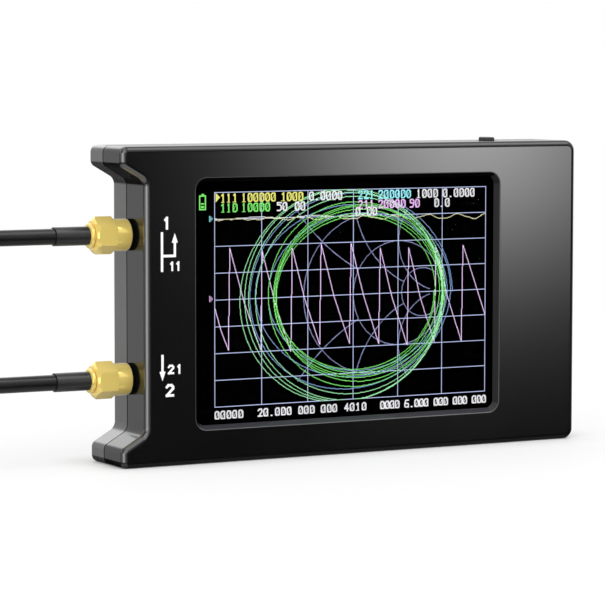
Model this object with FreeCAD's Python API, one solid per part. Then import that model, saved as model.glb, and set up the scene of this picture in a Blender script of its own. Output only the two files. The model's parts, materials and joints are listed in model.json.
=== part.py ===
import FreeCAD, Part
import math
import os

# Handheld antenna analyzer: a two-shell case with a 4 inch screen, two SMA ports and two test leads.
#
# Millimetres. +Z is up, the screen faces -Y, and the ports leave the left side towards -X. The origin
# is the middle of the case's underside. Every value in the first part of the file is a size that can be
# set by itself. Places are worked out from them in the second part.

V = FreeCAD.Vector

# ---------------------------------------------------------------- fits
seat_gap = 0.01             # between faces that rest on each other
contact_gap = 0.05          # between faces that nearly touch
running_clearance = 0.05    # round what slides or turns
core_clearance = 0.02       # round the connectors' cores
overrun = 1.0               # how far a cutting shape passes through what it cuts
joined = 0.1                # overlap of two shapes that are fused
picking = 0.1               # margin round the edges that a rounding picks

# ---------------------------------------------------------------- case
case_width = 130.6          # from the horn tips to the right side
case_height = 78.0
case_depth = 18.6
wall = 1.8                  # side and rear walls
face_thickness = 1.5        # front wall round the window
front_round = 1.5
rear_round = 1.0
right_corner = 2.7
seam_depth = 10.6           # from the front face to the joint between the two shells
seam_chamfer = 0.2
horn_reach = 6.3            # how far the two horns stand out past the recessed left wall
horn_tip = 4.7              # height of a horn's blunt end
horn_root = 8.3             # height at which a horn's flank meets the recessed wall
horn_corner = 1.7
recess_corner = 2.5
tongue_thickness = 0.8      # lip of the rear shell inside the front shell
tongue_height = 1.0
tongue_clearance = 0.1
label_width = 72.0          # shallow bare field on the back
label_height = 36.0
label_depth = 0.3
label_corner = 3.0
inner_corner_least = 0.6    # smallest corner inside the walls

# ---------------------------------------------------------------- window and display
window_left = 13.5          # from the recessed left wall
window_right = 23.3         # from the right side
window_bottom = 8.3
window_top = 7.8
window_corner = 3.1
window_slope = 1.05         # how far the window's bevel runs inwards
window_edge_round = 0.25
window_corner_least = 0.5
gasket_thickness = 0.3
gasket_setback = 0.3        # from the bevel's inner edge
touch_thickness = 1.1
gasket_inset = 0.1          # from the touch panel's edge
touch_border_x = 2.2        # hidden edge of the touch panel beyond the window
touch_border_z = 1.6
touch_corner = 1.0
stack_clearance = 0.05      # between stacked display layers
module_border_x = 4.9       # display module beyond the window
module_border_z = 0.7
module_thickness = 3.65
module_rim = 1.0            # rim of the module's tray round the cell
module_corner = 0.8
cell_thickness = 1.35
backlight_thickness = 1.6
tape_width = 8.0
tape_inset_x = 4.0          # from the module's left and right edges
tape_inset_z = 3.0
ribbon_width = 30.0
ribbon_thickness = 0.3
ribbon_connector_width = 5.0
ribbon_connector_height = 1.9
ribbon_connector_ear = 1.2  # connector beyond each side of the ribbon
ribbon_gap = 2.8            # from the module to the ribbon's connector
ribbon_inset = 0.1          # in front of the cell's rear face
ribbon_lead_out = 0.6       # level run out of the tray
ribbon_lead_in = 0.5        # level run into the connector
ribbon_mouth_clearance = 0.3
ribbon_mouth_depth = 0.6

# ---------------------------------------------------------------- board and what is on it
board_thickness = 1.6
board_gap = 0.4             # from the inside of the walls
board_corner = 1.5
post_inset = 4.9            # screw posts, from the outside of the walls
post_radius = 2.8
post_wall_rear = 0.8        # round the screw heads' counterbores
screw_radius = 1.25
screw_length = 12.0
screw_head_radius = 2.25
screw_head_height = 1.6
screw_sink = 2.0            # counterbore depth
screw_clearance = 0.2
thread_clearance = 0.03
pilot_extra = 0.5           # pilot hole beyond the screw's point
screw_head_round = 0.4
screw_point = 0.4
notch_clearance = 1.0       # board's notch from the screw posts
cross_width = 0.6
cross_length = 2.6
cross_depth = 0.9
shield_width = 27.0
shield_height = 26.0
shield_rise = 2.7
shield_sheet = 0.2
shield_from_edge = 6.2      # from the board's left edge
chip_rise = 0.9
mixer_size = 4.0
amplifier_size = 3.0
chip_column = 8.0           # from the battery's left edge
synthesiser_size = 5.0
synthesiser_inset = 8.0     # from the ports' axes, towards the middle
oscillator_width = 3.2
oscillator_height = 5.0
oscillator_rise = 1.2
power_chip_inset = 6.0      # from the battery's right edge
power_chip_size = 3.0
power_chip_up = 3.5         # above the USB-C socket's middle
coil_down = 5.0             # below the USB-C socket's middle
coil_height = 2.6
coil_rise = 1.1
passive_length = 1.0
passive_width = 0.5
passive_count = 10
passive_pitch = 2.0
passive_start = 9.0         # left of the processor's middle
passive_offset = 9.5        # rows above and below the processor's middle
shield_passive_count = 5
shield_passive_pitch = 1.6
shield_passive_start = 2.5  # left of the shield's middle
processor_size = 10.0
processor_rise = 1.4
battery_from_shields = 3.25
battery_height = 46.0
battery_drop = 1.5          # below the middle of the case
battery_thickness = 5.0
battery_tape_thickness = 0.3
battery_tape_width = 12.0
battery_tape_inset = 5.0    # from the battery's lower and upper ends
battery_from_right = 22.0   # from the inside of the right wall
battery_round = 1.2
battery_edge_share = 0.7    # roundness of its edges over that of its corners
battery_plug_offset = 4.6   # connector's middle above the battery
battery_connector_width = 6.0
battery_connector_height = 4.0
battery_connector_rise = 3.4
wire_radius = 0.55
wire_spacing = 1.5
wire_bend = 1.6
wire_bend_share = 0.9       # most of the drop that the bend may take

# ---------------------------------------------------------------- right side and top controls
usb_height = 38.0           # middle of the socket above the underside
usb_width = 8.94
usb_thickness = 3.26
usb_length = 7.3
usb_sheet = 0.3
usb_back = 1.0              # closed back of the socket
usb_tongue = 0.7
usb_tongue_width = 6.7
usb_tongue_setback = 0.8    # from the shell's mouth
usb_base_length = 1.4
usb_base_thickness = 1.8
usb_corner_share = 0.98     # corner radius over half the thickness
side_sink = 0.3             # how far sockets and knobs stay below the side
slot_clearance = 0.25
mouth_corner = 0.3
card_height = 20.0
card_width = 14.0
card_length = 15.0
card_thickness = 1.9
card_slot = 11.2
card_back = 2.0             # socket behind the card's room
card_floor = 0.5
card_roof = 0.3
power_height = 56.0
power_body_height = 8.6
power_body_rise = 3.6
power_body_length = 5.2
power_knob_height = 2.6
power_knob_thickness = 1.6
power_travel = 2.0
power_channel_depth = 2.6
power_grooves = 3
power_groove_width = 0.3
power_groove_depth = 0.25
jog_from_right = 21.3
jog_body_width = 10.0
jog_body_rise = 4.4
jog_tub = 6.0               # part of the switch that drops into the board's notch
jog_body_height = 4.4
jog_cap_width = 1.9
jog_cap_depth = 4.6
jog_cap_above = 0.9
jog_swing = 8.0             # degrees each way
jog_press = 0.4
jog_roof = 0.8              # of the cap above the stem's bore
jog_stem_width = 1.0
jog_stem_depth = 2.0
jog_hub_radius = 1.2
jog_pin_radius = 0.5
jog_offset = 0.6            # middle of the lever behind the middle of the case
jog_hub_room = 0.3
jog_side_room = 0.2
jog_neck_room = 0.25
jog_pin_length = 0.45       # beyond the room at each side
jog_tub_wall = 1.0
jog_cap_round = 0.35

# ---------------------------------------------------------------- ports and leads
port_margin_low = 21.0      # lower port's axis above the underside
port_margin_high = 21.7     # upper port's axis below the top
port_depth = 9.2            # port axis behind the front face
port_hole_clearance = 0.18
port_gasket_thickness = 0.8
port_gasket_radius = 3.9
port_gasket_clearance = 0.08
jack_reach = 6.2            # jack beyond the recessed wall
jack_radius = 3.12
thread_depth = 0.28
thread_pitch = 0.7056       # 1/4-36 UNS
thread_start = 0.3          # from the jack's end to the first crest
thread_crest = 0.1
jack_flange = 6.8
jack_flange_thickness = 1.95
jack_leg = 1.0
jack_leg_length = 4.8
mating_depth = 2.0          # from the jack's end to the plane where the two connectors meet
insulator_radius = 2.03
contact_radius = 0.635
core_setback = 0.2          # core inside the jack's rear face
tail_radius = 0.4
tail_reach = 2.6            # contact's tail over the board
socket_extra = 0.7          # contact's socket beyond the pin's tip
pin_radius = 0.46
pin_reach = 1.3
pin_clearance = 0.03
pin_tip_radius = 0.2
pin_tip_length = 0.4
sleeve_radius = 2.28        # plug's front sleeve inside the jack
plug_flange_radius = 3.05
plug_flange_thickness = 0.85
plug_radius = 2.45
plug_length = 7.0           # from the meeting plane to where the cable leaves
plug_floor = 0.9
nut_clearance = 0.06
nut_length = 9.25
nut_collar_length = 3.85
nut_collar_radius = 3.95
nut_across_flats = 8.0
nut_chamfer = 1.0
nut_front_share = 0.25      # length of the chamfer behind the collar over the rear one
nut_front_rise = 0.3
nut_envelope_extra = 0.02   # chamfering cone beyond the hexagon's corners
nut_lip_round = 0.25
ring_radius = 3.0
ring_length = 1.0
ring_round = 0.4
shrink_radius = 2.3
shrink_length = 8.9
cable_radius = 1.95
cable_clearance = 0.02
bend_share = 0.45           # most of a straight run that an arc may take

# Routes of the leads' cables: the run out of the plug is level, then each lead comes down to the
# surface that the case stands on, one a little to the rear and the other to the front.
lead_1_points = [
    (-111.0, -0.1, 56.3),
    (-138.0, 2.6, 20.0),
    (-171.0, 5.4, 2.03),
    (-194.0, 6.4, 2.03),
    (-212.5, 6.5, 4.67),
    (-227.5, 6.5, 4.67),
]
lead_2_points = [
    (-111.0, -0.1, 21.0),
    (-148.5, -3.0, 5.0),
    (-178.0, -5.6, 2.03),
    (-207.0, -6.4, 2.03),
    (-229.0, -6.5, 4.67),
    (-246.2, -6.5, 4.67),
]

# ---------------------------------------------------------------- places
left = -case_width / 2
right = case_width / 2
recess_x = left + horn_reach
front_y = -case_depth / 2
rear_y = case_depth / 2
seam_y = front_y + seam_depth
inner_left = recess_x + wall
inner_right = right - wall
inner_bottom = wall
inner_top = case_height - wall
inner_front = front_y + face_thickness
inner_rear = rear_y - wall

window_x0 = recess_x + window_left
window_x1 = right - window_right
window_z0 = window_bottom
window_z1 = case_height - window_top
sight_x0 = window_x0 + window_slope
sight_x1 = window_x1 - window_slope
sight_z0 = window_z0 + window_slope
sight_z1 = window_z1 - window_slope

touch_y = inner_front + gasket_thickness
module_y = touch_y + touch_thickness + stack_clearance
module_back = module_y + module_thickness
backlight_y = module_y + cell_thickness + contact_gap
module_x0 = sight_x0 - module_border_x
module_x1 = sight_x1 + module_border_x
module_z0 = sight_z0 - module_border_z
module_z1 = sight_z1 + module_border_z

port_y = front_y + port_depth
port_low = port_margin_low
port_high = case_height - port_margin_high
port_heights = {1: port_high, 2: port_low}
jack_end = recess_x - jack_reach
mating_x = jack_end + mating_depth
jack_bore = sleeve_radius + running_clearance
board_rear = port_y - tail_radius - cable_clearance
board_front = board_rear - board_thickness
board_x0 = inner_left + board_gap
board_x1 = inner_right - board_gap
board_z0 = inner_bottom + board_gap
board_z1 = inner_top - board_gap
jack_flange_x = inner_left + contact_gap
board_port_edge = jack_flange_x + jack_flange_thickness + contact_gap

counterbore_radius = screw_head_radius + screw_clearance
rear_post_radius = counterbore_radius + post_wall_rear
screw_seat = rear_y - screw_sink
post_places = [
    (recess_x + post_inset, post_inset),
    (recess_x + post_inset, case_height - post_inset),
    (right - post_inset, post_inset),
    (right - post_inset, case_height - post_inset),
]

usb_y = board_rear + contact_gap + usb_thickness / 2
card_y = board_rear + contact_gap + card_thickness / 2
power_y = board_rear + contact_gap + power_body_rise / 2
jog_x = right - jog_from_right
jog_y = jog_offset
jog_body_top = inner_top - board_gap
jog_pivot_z = jog_body_top - jog_body_height / 2
jog_bore_top = case_height + jog_cap_above - jog_roof
jog_stem_top = jog_bore_top - jog_press - 2 * contact_gap
battery_x0 = board_port_edge + shield_from_edge + shield_width + battery_from_shields
battery_x1 = inner_right - battery_from_right
battery_width = battery_x1 - battery_x0
battery_z0 = (case_height - battery_height) / 2 - battery_drop
battery_z1 = battery_z0 + battery_height
battery_back = inner_rear - battery_tape_thickness - contact_gap
battery_front = battery_back - battery_thickness
battery_plug_x = (battery_x0 + battery_x1) / 2
battery_plug_z = battery_z1 + battery_plug_offset
case_middle = case_height / 2
core_end = plug_length - plug_floor - contact_gap
jack_core_end = jack_flange_x + jack_flange_thickness - core_setback
nut_front = mating_x - (recess_x - port_gasket_thickness - contact_gap)
nut_back = nut_front + nut_length
nut_seat = mating_depth + contact_gap + plug_flange_thickness + contact_gap


# ---------------------------------------------------------------- helpers
def box(x0, x1, y0, y1, z0, z1):
    """A block between two corners."""
    return Part.makeBox(x1 - x0, y1 - y0, z1 - z0, V(x0, y0, z0))


def rod_y(x, z, radius, y0, y1):
    """A cylinder along Y."""
    return Part.makeCylinder(radius, y1 - y0, V(x, y0, z), V(0, 1, 0))


def rod_x(y, z, radius, x0, x1):
    """A cylinder along X."""
    return Part.makeCylinder(radius, x1 - x0, V(x0, y, z), V(1, 0, 0))


def rounded_wire(corners, y):
    """A closed loop at one depth through (x, z, radius) corners."""
    edges = []
    starts = []
    count = len(corners)
    for i in range(count):
        before = corners[i - 1]
        x, z, radius = corners[i]
        after = corners[(i + 1) % count]
        here = V(x, y, z)
        back = (V(before[0], y, before[1]) - here).normalize()
        ahead = (V(after[0], y, after[1]) - here).normalize()
        half = back.getAngle(ahead) / 2
        reach = radius / math.tan(half)
        middle = (back + ahead).normalize()
        centre = here + middle * (radius / math.sin(half))
        starts.append((here + back * reach, centre - middle * radius, here + ahead * reach))
    for i in range(count):
        first, mid, last = starts[i]
        following = starts[(i + 1) % count][0]
        edges.append(Part.Arc(first, mid, last).toShape())
        if last.distanceToPoint(following) > 1e-6:
            edges.append(Part.LineSegment(last, following).toShape())
    return Part.Wire(edges)


def plate(corners, y0, y1):
    """A solid of a rounded outline between two depths."""
    return Part.Face(rounded_wire(corners, y0)).extrude(V(0, y1 - y0, 0))


def rectangle(x0, x1, z0, z1, radius):
    """The four rounded corners of a rectangle."""
    return [(x0, z0, radius), (x1, z0, radius), (x1, z1, radius), (x0, z1, radius)]


def spun(points, y, z):
    """A solid turned about an axis along X, from (x, radius) points of its half section."""
    loop = [V(x, y, z + radius) for x, radius in points]
    loop.append(loop[0])
    face = Part.Face(Part.makePolygon(loop))
    return face.revolve(V(0, y, z), V(1, 0, 0), 360)


def placed(shape, x, y, z, cable_side):
    """A connector piece drawn along +X from its meeting plane, put where it belongs.

    cable_side is -1 where the cable leaves towards -X, and 1 where it leaves towards +X.
    """
    piece = shape.copy()
    if cable_side < 0:
        piece.rotate(V(0, 0, 0), V(0, 0, 1), 180)
    piece.translate(V(x, y, z))
    return piece


def edges_at(shape, y):
    """The edges of a shape that lie wholly at one depth."""
    found = []
    for edge in shape.Edges:
        bounds = edge.BoundBox
        if abs(bounds.YMin - y) < 1e-4 and abs(bounds.YMax - y) < 1e-4:
            found.append(edge)
    return found


def slot_x(y, z, half_y, half_z, radius, x0, x1):
    """A block with rounded corners along X, for sockets and their mouths."""
    loop = [
        (-half_y, -half_z, radius),
        (half_y, -half_z, radius),
        (half_y, half_z, radius),
        (-half_y, half_z, radius),
    ]
    solid = plate(loop, 0, x1 - x0)
    solid.rotate(V(0, 0, 0), V(0, 0, 1), -90)
    solid.translate(V(x0, y, z))
    return solid


# ---------------------------------------------------------------- case
def case_outline():
    """The outline seen from the front, with the horns above and below the recessed left wall."""
    return [
        (left, 0.0, horn_corner),
        (right, 0.0, right_corner),
        (right, case_height, right_corner),
        (left, case_height, horn_corner),
        (left, case_height - horn_tip, horn_corner),
        (recess_x, case_height - horn_root, recess_corner),
        (recess_x, horn_root, recess_corner),
        (left, horn_tip, horn_corner),
    ]


def cavity(y0, y1, inset):
    """The room inside the walls between two depths."""
    radius = max(right_corner - inset, inner_corner_least)
    loop = rectangle(recess_x + inset, right - inset, inset, case_height - inset, radius)
    return plate(loop, y0, y1)


def cut_openings(shell):
    """Cuts what passes through both shells' walls: ports, jog lever, sockets and switch."""
    for height in port_heights.values():
        radius = jack_radius + port_hole_clearance
        hole = rod_x(port_y, height, radius, recess_x - overrun, inner_left + overrun)
        shell = shell.cut(hole)
    swing = (case_height - jog_pivot_z) * math.tan(math.radians(jog_swing))
    half_x = jog_cap_width / 2 + swing + 2 * slot_clearance
    half_y = jog_cap_depth / 2 + slot_clearance
    low = inner_top - overrun
    high = case_height + overrun
    jog_slot = box(jog_x - half_x, jog_x + half_x, jog_y - half_y, jog_y + half_y, low, high)
    shell = shell.cut(jog_slot)
    usb_half = usb_thickness / 2 + slot_clearance
    card_half = card_thickness / 2 - slot_clearance
    power_half = power_knob_thickness / 2 + slot_clearance
    power_reach = (power_knob_height + power_travel) / 2 + slot_clearance
    mouths = [
        (usb_y, usb_height, usb_half, usb_width / 2 + slot_clearance, usb_half * usb_corner_share),
        (card_y, card_height, card_half, card_slot / 2 + slot_clearance, mouth_corner),
        (power_y, power_height, power_half, power_reach, mouth_corner),
    ]
    for mouth in mouths:
        shell = shell.cut(slot_x(*mouth, inner_right - overrun, right + overrun))
    return shell


def make_front_shell():
    shell = plate(case_outline(), front_y, seam_y)
    shell = shell.makeFillet(front_round, edges_at(shell, front_y))
    shell = shell.makeChamfer(seam_chamfer, edges_at(shell, seam_y))
    shell = shell.cut(cavity(inner_front, seam_y + overrun, wall))
    rebate_inset = wall - tongue_thickness - tongue_clearance
    rebate_y = seam_y - tongue_height - tongue_clearance
    shell = shell.cut(cavity(rebate_y, seam_y + overrun, rebate_inset))
    outer = rounded_wire(
        rectangle(window_x0, window_x1, window_z0, window_z1, window_corner), front_y
    )
    inner_radius = max(window_corner - window_slope, window_corner_least)
    inner = rounded_wire(
        rectangle(sight_x0, sight_x1, sight_z0, sight_z1, inner_radius), inner_front
    )
    shell = shell.cut(Part.makeLoft([outer, inner], True, True))
    rim = [
        edge
        for edge in edges_at(shell, front_y)
        if edge.BoundBox.XMin > window_x0 - picking and edge.BoundBox.XMax < window_x1 + picking
        and edge.BoundBox.ZMin > window_z0 - picking and edge.BoundBox.ZMax < window_z1 + picking
    ]
    shell = shell.makeFillet(window_edge_round, rim)
    for x, z in post_places:
        shell = shell.fuse(rod_y(x, z, post_radius, inner_front - joined, board_front - seat_gap))
    tip = screw_seat - screw_length - pilot_extra
    for x, z in post_places:
        shell = shell.cut(rod_y(x, z, screw_radius + thread_clearance, tip, seam_y))
    return cut_openings(shell).removeSplitter()


def make_rear_shell():
    shell = plate(case_outline(), seam_y, rear_y)
    shell = shell.makeFillet(rear_round, edges_at(shell, rear_y))
    shell = shell.makeChamfer(seam_chamfer, edges_at(shell, seam_y))
    shell = shell.cut(cavity(seam_y - overrun, inner_rear, wall))
    tongue_y = seam_y - tongue_height
    ring = cavity(tongue_y, seam_y + joined, wall - tongue_thickness)
    ring = ring.cut(cavity(tongue_y - overrun, seam_y + overrun, wall))
    shell = shell.fuse(ring)
    for x, z in post_places:
        post = rod_y(x, z, rear_post_radius, seam_y + joined, inner_rear + joined)
        foot = rod_y(x, z, post_radius, board_rear + seat_gap, inner_rear)
        shell = shell.fuse(post.common(cavity(seam_y, rear_y, wall / 2)))
        shell = shell.fuse(foot)
    for x, z in post_places:
        shell = shell.cut(rod_y(x, z, counterbore_radius, screw_seat, rear_y + overrun))
        shell = shell.cut(rod_y(x, z, screw_radius + screw_clearance, board_rear - overrun, rear_y))
    middle_x = (recess_x + right) / 2
    field = rectangle(
        middle_x - label_width / 2,
        middle_x + label_width / 2,
        (case_height - label_height) / 2,
        (case_height + label_height) / 2,
        label_corner,
    )
    shell = shell.cut(plate(field, rear_y - label_depth, rear_y + overrun))
    return cut_openings(shell).removeSplitter()


def make_case_screws():
    screws = []
    for x, z in post_places:
        head = rod_y(x, z, screw_head_radius, screw_seat + seat_gap, screw_seat + screw_head_height)
        crown = edges_at(head, screw_seat + screw_head_height)
        head = head.makeFillet(screw_head_round, crown)
        shank = rod_y(x, z, screw_radius, screw_seat - screw_length, screw_seat + joined)
        shank = shank.makeChamfer(screw_point, edges_at(shank, screw_seat - screw_length))
        screw = head.fuse(shank)
        top = screw_seat + screw_head_height
        half = cross_width / 2
        arm = cross_length / 2
        screw = screw.cut(box(x - half, x + half, top - cross_depth, top + overrun, z - arm, z + arm))
        screw = screw.cut(box(x - arm, x + arm, top - cross_depth, top + overrun, z - half, z + half))
        screws.append(screw)
    return screws


# ---------------------------------------------------------------- display
def make_window_gasket():
    margin_x = touch_border_x - gasket_inset
    margin_z = touch_border_z - gasket_inset
    back = touch_y - seat_gap
    outer = rectangle(
        sight_x0 - margin_x, sight_x1 + margin_x, sight_z0 - margin_z, sight_z1 + margin_z, touch_corner
    )
    inner = rectangle(
        sight_x0 - gasket_setback,
        sight_x1 + gasket_setback,
        sight_z0 - gasket_setback,
        sight_z1 + gasket_setback,
        touch_corner,
    )
    ring = plate(outer, inner_front + seat_gap, back)
    return ring.cut(plate(inner, inner_front - overrun, back + overrun))


def make_touch_panel():
    loop = rectangle(
        sight_x0 - touch_border_x,
        sight_x1 + touch_border_x,
        sight_z0 - touch_border_z,
        sight_z1 + touch_border_z,
        touch_corner,
    )
    return plate(loop, touch_y, touch_y + touch_thickness)


def module_loop(inset):
    return rectangle(
        module_x0 + inset, module_x1 - inset, module_z0 + inset, module_z1 - inset, module_corner
    )


def make_lcd_frame():
    tray = plate(module_loop(0), module_y, module_back)
    pocket_back = backlight_y + backlight_thickness + contact_gap
    pocket = plate(module_loop(module_rim), module_y - overrun, pocket_back)
    mouth_z = (module_z0 + module_z1) / 2
    mouth = box(
        module_x1 - module_rim - joined,
        module_x1 + overrun,
        backlight_y - ribbon_mouth_depth,
        backlight_y,
        mouth_z - ribbon_width / 2 - ribbon_mouth_clearance,
        mouth_z + ribbon_width / 2 + ribbon_mouth_clearance,
    )
    return tray.cut(pocket).cut(mouth)


def make_lcd_panel():
    return plate(module_loop(module_rim + contact_gap), module_y, module_y + cell_thickness)


def make_lcd_backlight():
    return plate(module_loop(module_rim + contact_gap), backlight_y, backlight_y + backlight_thickness)


def make_lcd_ribbon():
    """The display's flat cable: out of the tray's mouth and down into the connector on the board."""
    middle = (module_z0 + module_z1) / 2
    y0 = module_y + cell_thickness - ribbon_thickness - ribbon_inset
    y1 = board_front - ribbon_connector_height / 2
    x0 = module_x1 - module_rim + contact_gap + 2 * seat_gap
    x1 = module_x1 + ribbon_lead_out
    x2 = module_x1 + ribbon_gap - ribbon_lead_in
    x3 = module_x1 + ribbon_gap - contact_gap / 2
    t = ribbon_thickness
    line = [(x0, y0), (x1, y0), (x2, y1), (x3, y1), (x3, y1 + t), (x2, y1 + t), (x1, y0 + t), (x0, y0 + t)]
    loop = [V(x, y, middle - ribbon_width / 2) for x, y in line]
    loop.append(loop[0])
    return Part.Face(Part.makePolygon(loop)).extrude(V(0, 0, ribbon_width))


def make_ribbon_connector():
    middle = (module_z0 + module_z1) / 2
    x0 = module_x1 + ribbon_gap
    half = ribbon_width / 2 + ribbon_connector_ear
    y1 = board_front - seat_gap
    x1 = x0 + ribbon_connector_width
    return box(x0, x1, y1 - ribbon_connector_height, y1, middle - half, middle + half)


def make_lcd_tape():
    """Two strips of foam tape between the display module and the board."""
    y0 = module_back + seat_gap
    y1 = board_front - seat_gap
    strips = []
    z0 = module_z0 + tape_inset_z
    z1 = module_z1 - tape_inset_z
    for x in (module_x0 + tape_inset_x, module_x1 - tape_inset_x - tape_width):
        strips.append(box(x, x + tape_width, y0, y1, z0, z1))
    return strips


# ---------------------------------------------------------------- board
def make_main_board():
    board = plate(rectangle(board_x0, board_x1, board_z0, board_z1, board_corner), board_front, board_rear)
    clear = post_inset + post_radius + notch_clearance
    y0 = board_front - overrun
    y1 = board_rear + overrun
    board = board.cut(box(board_x0 - overrun, board_port_edge, y0, y1, clear, case_height - clear))
    half = jog_tub / 2 + slot_clearance
    low = jog_body_top - jog_body_height - slot_clearance
    board = board.cut(box(jog_x - half, jog_x + half, y0, y1, low, board_z1 + overrun))
    for x, z in post_places:
        board = board.cut(rod_y(x, z, screw_radius + 2 * screw_clearance, y0, y1))
    return board


def on_board(x, z, width, height, rise):
    """A block standing on the board's rear face."""
    y = board_rear + seat_gap
    return box(x - width / 2, x + width / 2, y, y + rise, z - height / 2, z + height / 2)


def shield_place(number):
    x0 = board_port_edge + shield_from_edge
    return x0 + shield_width / 2, port_heights[number]


def make_rf_shield(number):
    x, z = shield_place(number)
    can = on_board(x, z, shield_width, shield_height, shield_rise)
    inner_width = shield_width - 2 * shield_sheet
    inner_height = shield_height - 2 * shield_sheet
    inner = on_board(x, z, inner_width, inner_height, shield_rise)
    inner.translate(V(0, -shield_sheet, 0))
    return can.cut(inner)


def make_mixer_chips():
    chips = []
    for number in (1, 2):
        x, z = shield_place(number)
        chips.append(on_board(x - shield_width / 4, z, mixer_size, mixer_size, chip_rise))
        for side in (-1, 1):
            place = (x + shield_width / 5, z + side * shield_height / 5)
            chips.append(on_board(*place, amplifier_size, amplifier_size, chip_rise))
    return chips


def make_synthesiser_chips():
    x = battery_x0 + chip_column
    chips = []
    for z in (port_high - synthesiser_inset, port_low + synthesiser_inset):
        chips.append(on_board(x, z, synthesiser_size, synthesiser_size, chip_rise))
    return chips


def make_processor():
    x = (battery_x0 + battery_x1) / 2
    return on_board(x, case_middle, processor_size, processor_size, processor_rise)


def make_oscillator():
    x = battery_x0 + chip_column
    return on_board(x, case_middle, oscillator_width, oscillator_height, oscillator_rise)


def make_power_chips():
    x = battery_x1 - power_chip_inset
    charger = on_board(x, usb_height + power_chip_up, power_chip_size, power_chip_size, chip_rise)
    coil = on_board(x, usb_height - coil_down, power_chip_size, coil_height, coil_rise)
    return [charger, coil]


def make_passives():
    """Rows of small capacitors and resistors beside the chips."""
    parts = []
    start = (battery_x0 + battery_x1) / 2 - passive_start
    for z in (case_middle + passive_offset, case_middle - passive_offset):
        for i in range(passive_count):
            x = start + passive_pitch * i
            parts.append(on_board(x, z, passive_length, passive_width, passive_width))
    for number in (1, 2):
        middle, z = shield_place(number)
        for i in range(shield_passive_count):
            x = middle - shield_passive_start + shield_passive_pitch * i
            parts.append(on_board(x, z, passive_width, passive_length, passive_width))
    return parts


def make_battery():
    loop = rectangle(battery_x0, battery_x1, battery_z0, battery_z1, battery_round)
    cell = plate(loop, battery_front, battery_back)
    rims = edges_at(cell, battery_front) + edges_at(cell, battery_back)
    return cell.makeFillet(battery_round * battery_edge_share, rims)


def make_battery_tape():
    y0 = battery_back + seat_gap
    y1 = inner_rear - seat_gap
    middle = (battery_x0 + battery_x1) / 2
    half = battery_tape_width / 2
    z0 = battery_z0 + battery_tape_inset
    z1 = battery_z1 - battery_tape_inset
    strips = []
    for x in (middle - battery_width / 4, middle + battery_width / 4):
        strips.append(box(x - half, x + half, y0, y1, z0, z1))
    return strips


def make_battery_connector():
    return on_board(
        battery_plug_x,
        battery_plug_z,
        battery_connector_width,
        battery_connector_height,
        battery_connector_rise,
    )


def make_battery_wires():
    """Two wires from the battery's end into the connector on the board."""
    wires = []
    y0 = (battery_front + battery_back) / 2
    y1 = board_rear + seat_gap + battery_connector_rise + contact_gap
    bend = min(wire_bend, (y0 - y1) * wire_bend_share)
    for side in (-0.5, 0.5):
        x = battery_plug_x + side * wire_spacing
        start = V(x, y0, battery_z1 + contact_gap)
        turn = V(x, y0, battery_plug_z - bend)
        middle = V(x, y0 - bend * (1 - math.sqrt(0.5)), battery_plug_z - bend * (1 - math.sqrt(0.5)))
        down = V(x, y0 - bend, battery_plug_z)
        end = V(x, y1, battery_plug_z)
        path = Part.Wire(
            [
                Part.LineSegment(start, turn).toShape(),
                Part.Arc(turn, middle, down).toShape(),
                Part.LineSegment(down, end).toShape(),
            ]
        )
        section = Part.Wire([Part.makeCircle(wire_radius, start, V(0, 0, 1))])
        wires.append(path.makePipeShell([section], True, False))
    return wires


# ---------------------------------------------------------------- sockets and switches
def make_usb_shell():
    x1 = right - side_sink
    x0 = x1 - usb_length
    half = usb_thickness / 2
    tube = slot_x(usb_y, usb_height, half, usb_width / 2, half * usb_corner_share, x0, x1)
    inner = half - usb_sheet
    corner = inner * usb_corner_share
    inner_z = usb_width / 2 - usb_sheet
    bore = slot_x(usb_y, usb_height, inner, inner_z, corner, x0 + usb_back, x1 + overrun)
    return tube.cut(bore)


def make_usb_insert():
    x1 = right - side_sink
    x0 = x1 - usb_length + usb_back + seat_gap
    z0 = usb_height - usb_tongue_width / 2
    z1 = usb_height + usb_tongue_width / 2
    thick = usb_base_thickness / 2
    thin = usb_tongue / 2
    base = box(x0, x0 + usb_base_length, usb_y - thick, usb_y + thick, z0, z1)
    tongue = box(x0, x1 - usb_tongue_setback, usb_y - thin, usb_y + thin, z0, z1)
    return base.fuse(tongue).removeSplitter()


def make_card_socket():
    x1 = inner_right - contact_gap
    y0 = board_rear + seat_gap
    x0 = x1 - card_length
    half = card_width / 2
    body = box(x0, x1, y0, y0 + card_thickness, card_height - half, card_height + half)
    pocket = box(
        x0 + card_back,
        x1 + overrun,
        y0 + card_floor,
        y0 + card_thickness - card_roof,
        card_height - card_slot / 2,
        card_height + card_slot / 2,
    )
    return body.cut(pocket)


def make_power_switch_body():
    x1 = inner_right - contact_gap
    y0 = board_rear + seat_gap
    body = box(
        x1 - power_body_length,
        x1,
        y0,
        y0 + power_body_rise,
        power_height - power_body_height / 2,
        power_height + power_body_height / 2,
    )
    half_y = power_knob_thickness / 2 + running_clearance
    half_z = (power_knob_height + power_travel) / 2 + 2 * running_clearance
    channel = box(
        x1 - power_channel_depth,
        x1 + overrun,
        power_y - half_y,
        power_y + half_y,
        power_height - half_z,
        power_height + half_z,
    )
    return body.cut(channel)


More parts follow.
